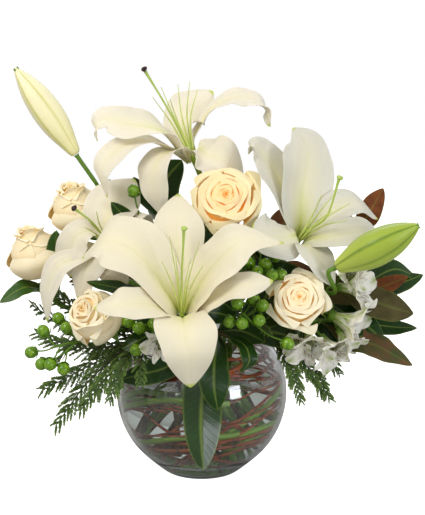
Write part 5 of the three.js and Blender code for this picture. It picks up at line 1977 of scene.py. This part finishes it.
SPRAYS = (
    BerrySpray("hypericum_left", (36, 197), ((-62, -24, 138), (-106, -52, 130)), (
        Fork(((-122, -52, 150), (-114, -64, 144))),
        Fork(((-134, -62, 141), (-145, -60, 122), (-127, -76, 115)), (-124, -64, 128)),
        Fork(((-135, -70, 114), (-116, -76, 111)), (-116, -60, 122)),
        Fork(((-58, -34, 258),), (-54, -28, 240), True),
    )),
    BerrySpray("hypericum_front", (36, 246), ((-24, -48, 143), (-44, -68, 144)), (
        Fork(((-52, -80, 147), (-61, -78, 152), (-40, -74, 149), (-54, -84, 129))),
    ), (
        Leaf(((-30, -54, 144), (-50, -72, 136), (-66, -74, 128)), 9),
        Leaf(((-24, -48, 143), (-44, -60, 152), (-62, -60, 158)), 8, TO_VIEWER),
    )),
    BerrySpray("hypericum_right_high", (22, 318), ((26, -26, 160), (46, -54, 188)), (
        Fork(((29, -74, 199), (40, -66, 200), (47, -78, 194), (38, -84, 190), (26, -70, 207))),
        Fork(((54, -68, 199), (59, -82, 192), (67, -74, 191), (52, -60, 213), (63, -62, 206)),
            (54, -56, 192)),
    ), (
        Leaf(((40, -46, 180), (24, -56, 190), (14, -60, 204)), 9, TO_VIEWER),
        Leaf(((44, -50, 184), (62, -56, 184), (76, -62, 178)), 9, TO_VIEWER),
        Leaf(((42, -48, 182), (37, -41, 194), (33, -40, 210)), 10, TO_VIEWER),
    )),
    BerrySpray("hypericum_right_low", (36, 300), ((24, -44, 142), (36, -76, 158)), (
        Fork(((30, -98, 171), (24, -96, 155), (34, -102, 155), (44, -84, 172), (51, -92, 168))),
        Fork(((48, -100, 157), (72, -98, 137)), (44, -80, 150)),
    ), (
        Leaf(((30, -60, 150), (16, -74, 158), (4, -80, 160)), 9, TO_VIEWER),
        Leaf(((28, -54, 147), (20, -53, 162), (14, -52, 180)), 11, TO_VIEWER),
        Leaf(((32, -58, 148), (52, -58, 156), (72, -52, 150)), 13, TO_VIEWER),
        Leaf(((30, -52, 144), (56, -56, 140), (88, -54, 132)), 13, TO_VIEWER),
        Leaf(((32, -58, 148), (53, -58, 166), (63, -54, 188)), 14, TO_VIEWER),
    )),
    BerrySpray("hypericum_back", (34, 95), ((-2, 50, 162), (-6, 66, 190)), (
        Fork(((-18, 72, 204), (2, 76, 208), (-8, 86, 196))),
        Fork(((18, 72, 192), (14, 80, 178)), (6, 60, 180)),
    )),
)

SMALL_LILIES = (
    SmallLilies("alstroemeria_right", (36, 345), ((62, -24, 144), (112, -52, 148)), (
        (
            SmallBloom((115, -54, 177), (0.88, -0.42, 0.1), 10, 1.3),
            SmallBloom((121, -50, 184), (0.5, -0.8, 0.3), 30, 0.85),
        ),
        (SmallBloom((108, -62, 156), (0.86, -0.3, -0.36), 20, 1.5),),
        (SmallBloom((116, -62, 143), (0.45, -0.45, -0.75), 10, 1.0),),
        (
            SmallBloom((90, -70, 143), (0.1, -0.75, -0.65), 40, 1.15),
            SmallBloom((101, -66, 138), (0.5, -0.6, -0.6), 15, 1.2),
        ),
        (SmallBloom((82, -66, 137), (-0.2, -0.85, -0.4), 30, 0.7),),
    )),
    SmallLilies("alstroemeria_front", (24, 240), ((-20, -38, 150), (-28, -62, 146)), (
        (SmallBloom((-31, -82, 137), (-0.2, -1, -0.1), size=0.85),),
    )),
)

CEDARS = (
    CedarBranch("cedar_left", (36, 230), ((-32, -40, 139), (-62, -58, 128)), (
        Frond(((-62, -58, 128), (-96, -66, 98), (-124, -70, 60))),
        Frond(((-56, -54, 130), (-98, -54, 108), (-136, -56, 88)), reach=18),
        Frond(((-50, -51, 132), (-78, -78, 106), (-101, -90, 78)), reach=16),
        Frond(((-46, -48, 134), (-66, -80, 114), (-76, -94, 88)), reach=14),
        Frond(((-40, -46, 136), (-50, -82, 120), (-50, -94, 102)), reach=12, shoots=8),
        Frond(((-62, -58, 128), (-104, -50, 124), (-143, -46, 136)), reach=17),
        Frond(((-58, -52, 130), (-100, -36, 150), (-136, -34, 174)), reach=17),
        Frond(((-54, -48, 132), (-84, -32, 154), (-110, -30, 182)), reach=15),
    )),
    CedarBranch("cedar_right", (36, 331), ((48, -32, 139), (66, -52, 126)), (
        Frond(((66, -52, 126), (76, -76, 112), (84, -90, 86)), reach=13),
        Frond(((61, -46, 130), (92, -60, 108), (110, -68, 83)), reach=14),
        Frond(((56, -41, 133), (98, -44, 122), (120, -44, 100)), reach=14),
        Frond(((64, -50, 128), (86, -72, 118), (98, -80, 98)), reach=12, shoots=8),
        Frond(((56, -41, 133), (50, -70, 150), (58, -84, 142)), reach=10, shoots=8),
    )),
    CedarBranch("cedar_back", (36, 72), ((18, 48, 140), (24, 62, 136)), (
        Frond(((24, 62, 136), (30, 92, 122), (34, 110, 96)), BACK),
        Frond(((22, 57, 137), (-6, 88, 128), (-30, 106, 106)), BACK),
        Frond(((20, 53, 139), (64, 78, 128), (96, 84, 106)), BACK),
        Frond(((18, 48, 140), (-6, 24, 205), (-31, 0, 268)), reach=10),
    )),
    CedarBranch("cedar_back_left", (34, 164), ((-60, 18, 141), (-84, 28, 138)), (
        Frond(((-84, 28, 138), (-112, 22, 120), (-134, 12, 96)), (0, 0.3, 0.9)),
        Frond(((-78, 25, 139), (-92, 52, 118), (-102, 68, 90)), BACK),
        Frond(((-72, 23, 139), (-114, -6, 134), (-147, -42, 160))),
        Frond(((-60, 18, 141), (-84, 14, 215), (-82, -6, 274)), reach=11),
    )),
)

COILS = (
    WillowCoil(1, 28, 68, 190, 1.1, 3.6, 2, 2.1, slant=24, strands=9, green=(2, 4, 7)),
    WillowCoil(2, 42, 60, 40, -1.1, 9, 6, 2.0, slant=38, strands=8, green=(3, 6)),
    WillowCoil(3, 93, 116, 150, 0.8, 3.7, 3, 1.8, floor=90, roof=122, slant=11, strands=9),
)


def main() -> None:
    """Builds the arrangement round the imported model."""
    logging.basicConfig(level=logging.INFO, format="%(name)s: %(message)s")
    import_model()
    Studio().build()
    Bowl().build()
    WaterBody().build()
    for part in (*COILS, *LILIES, *ROSES, *BRANCHES, *SPRAYS, *SMALL_LILIES, *CEDARS):
        part.build()


if __name__ == "__main__":
    main()
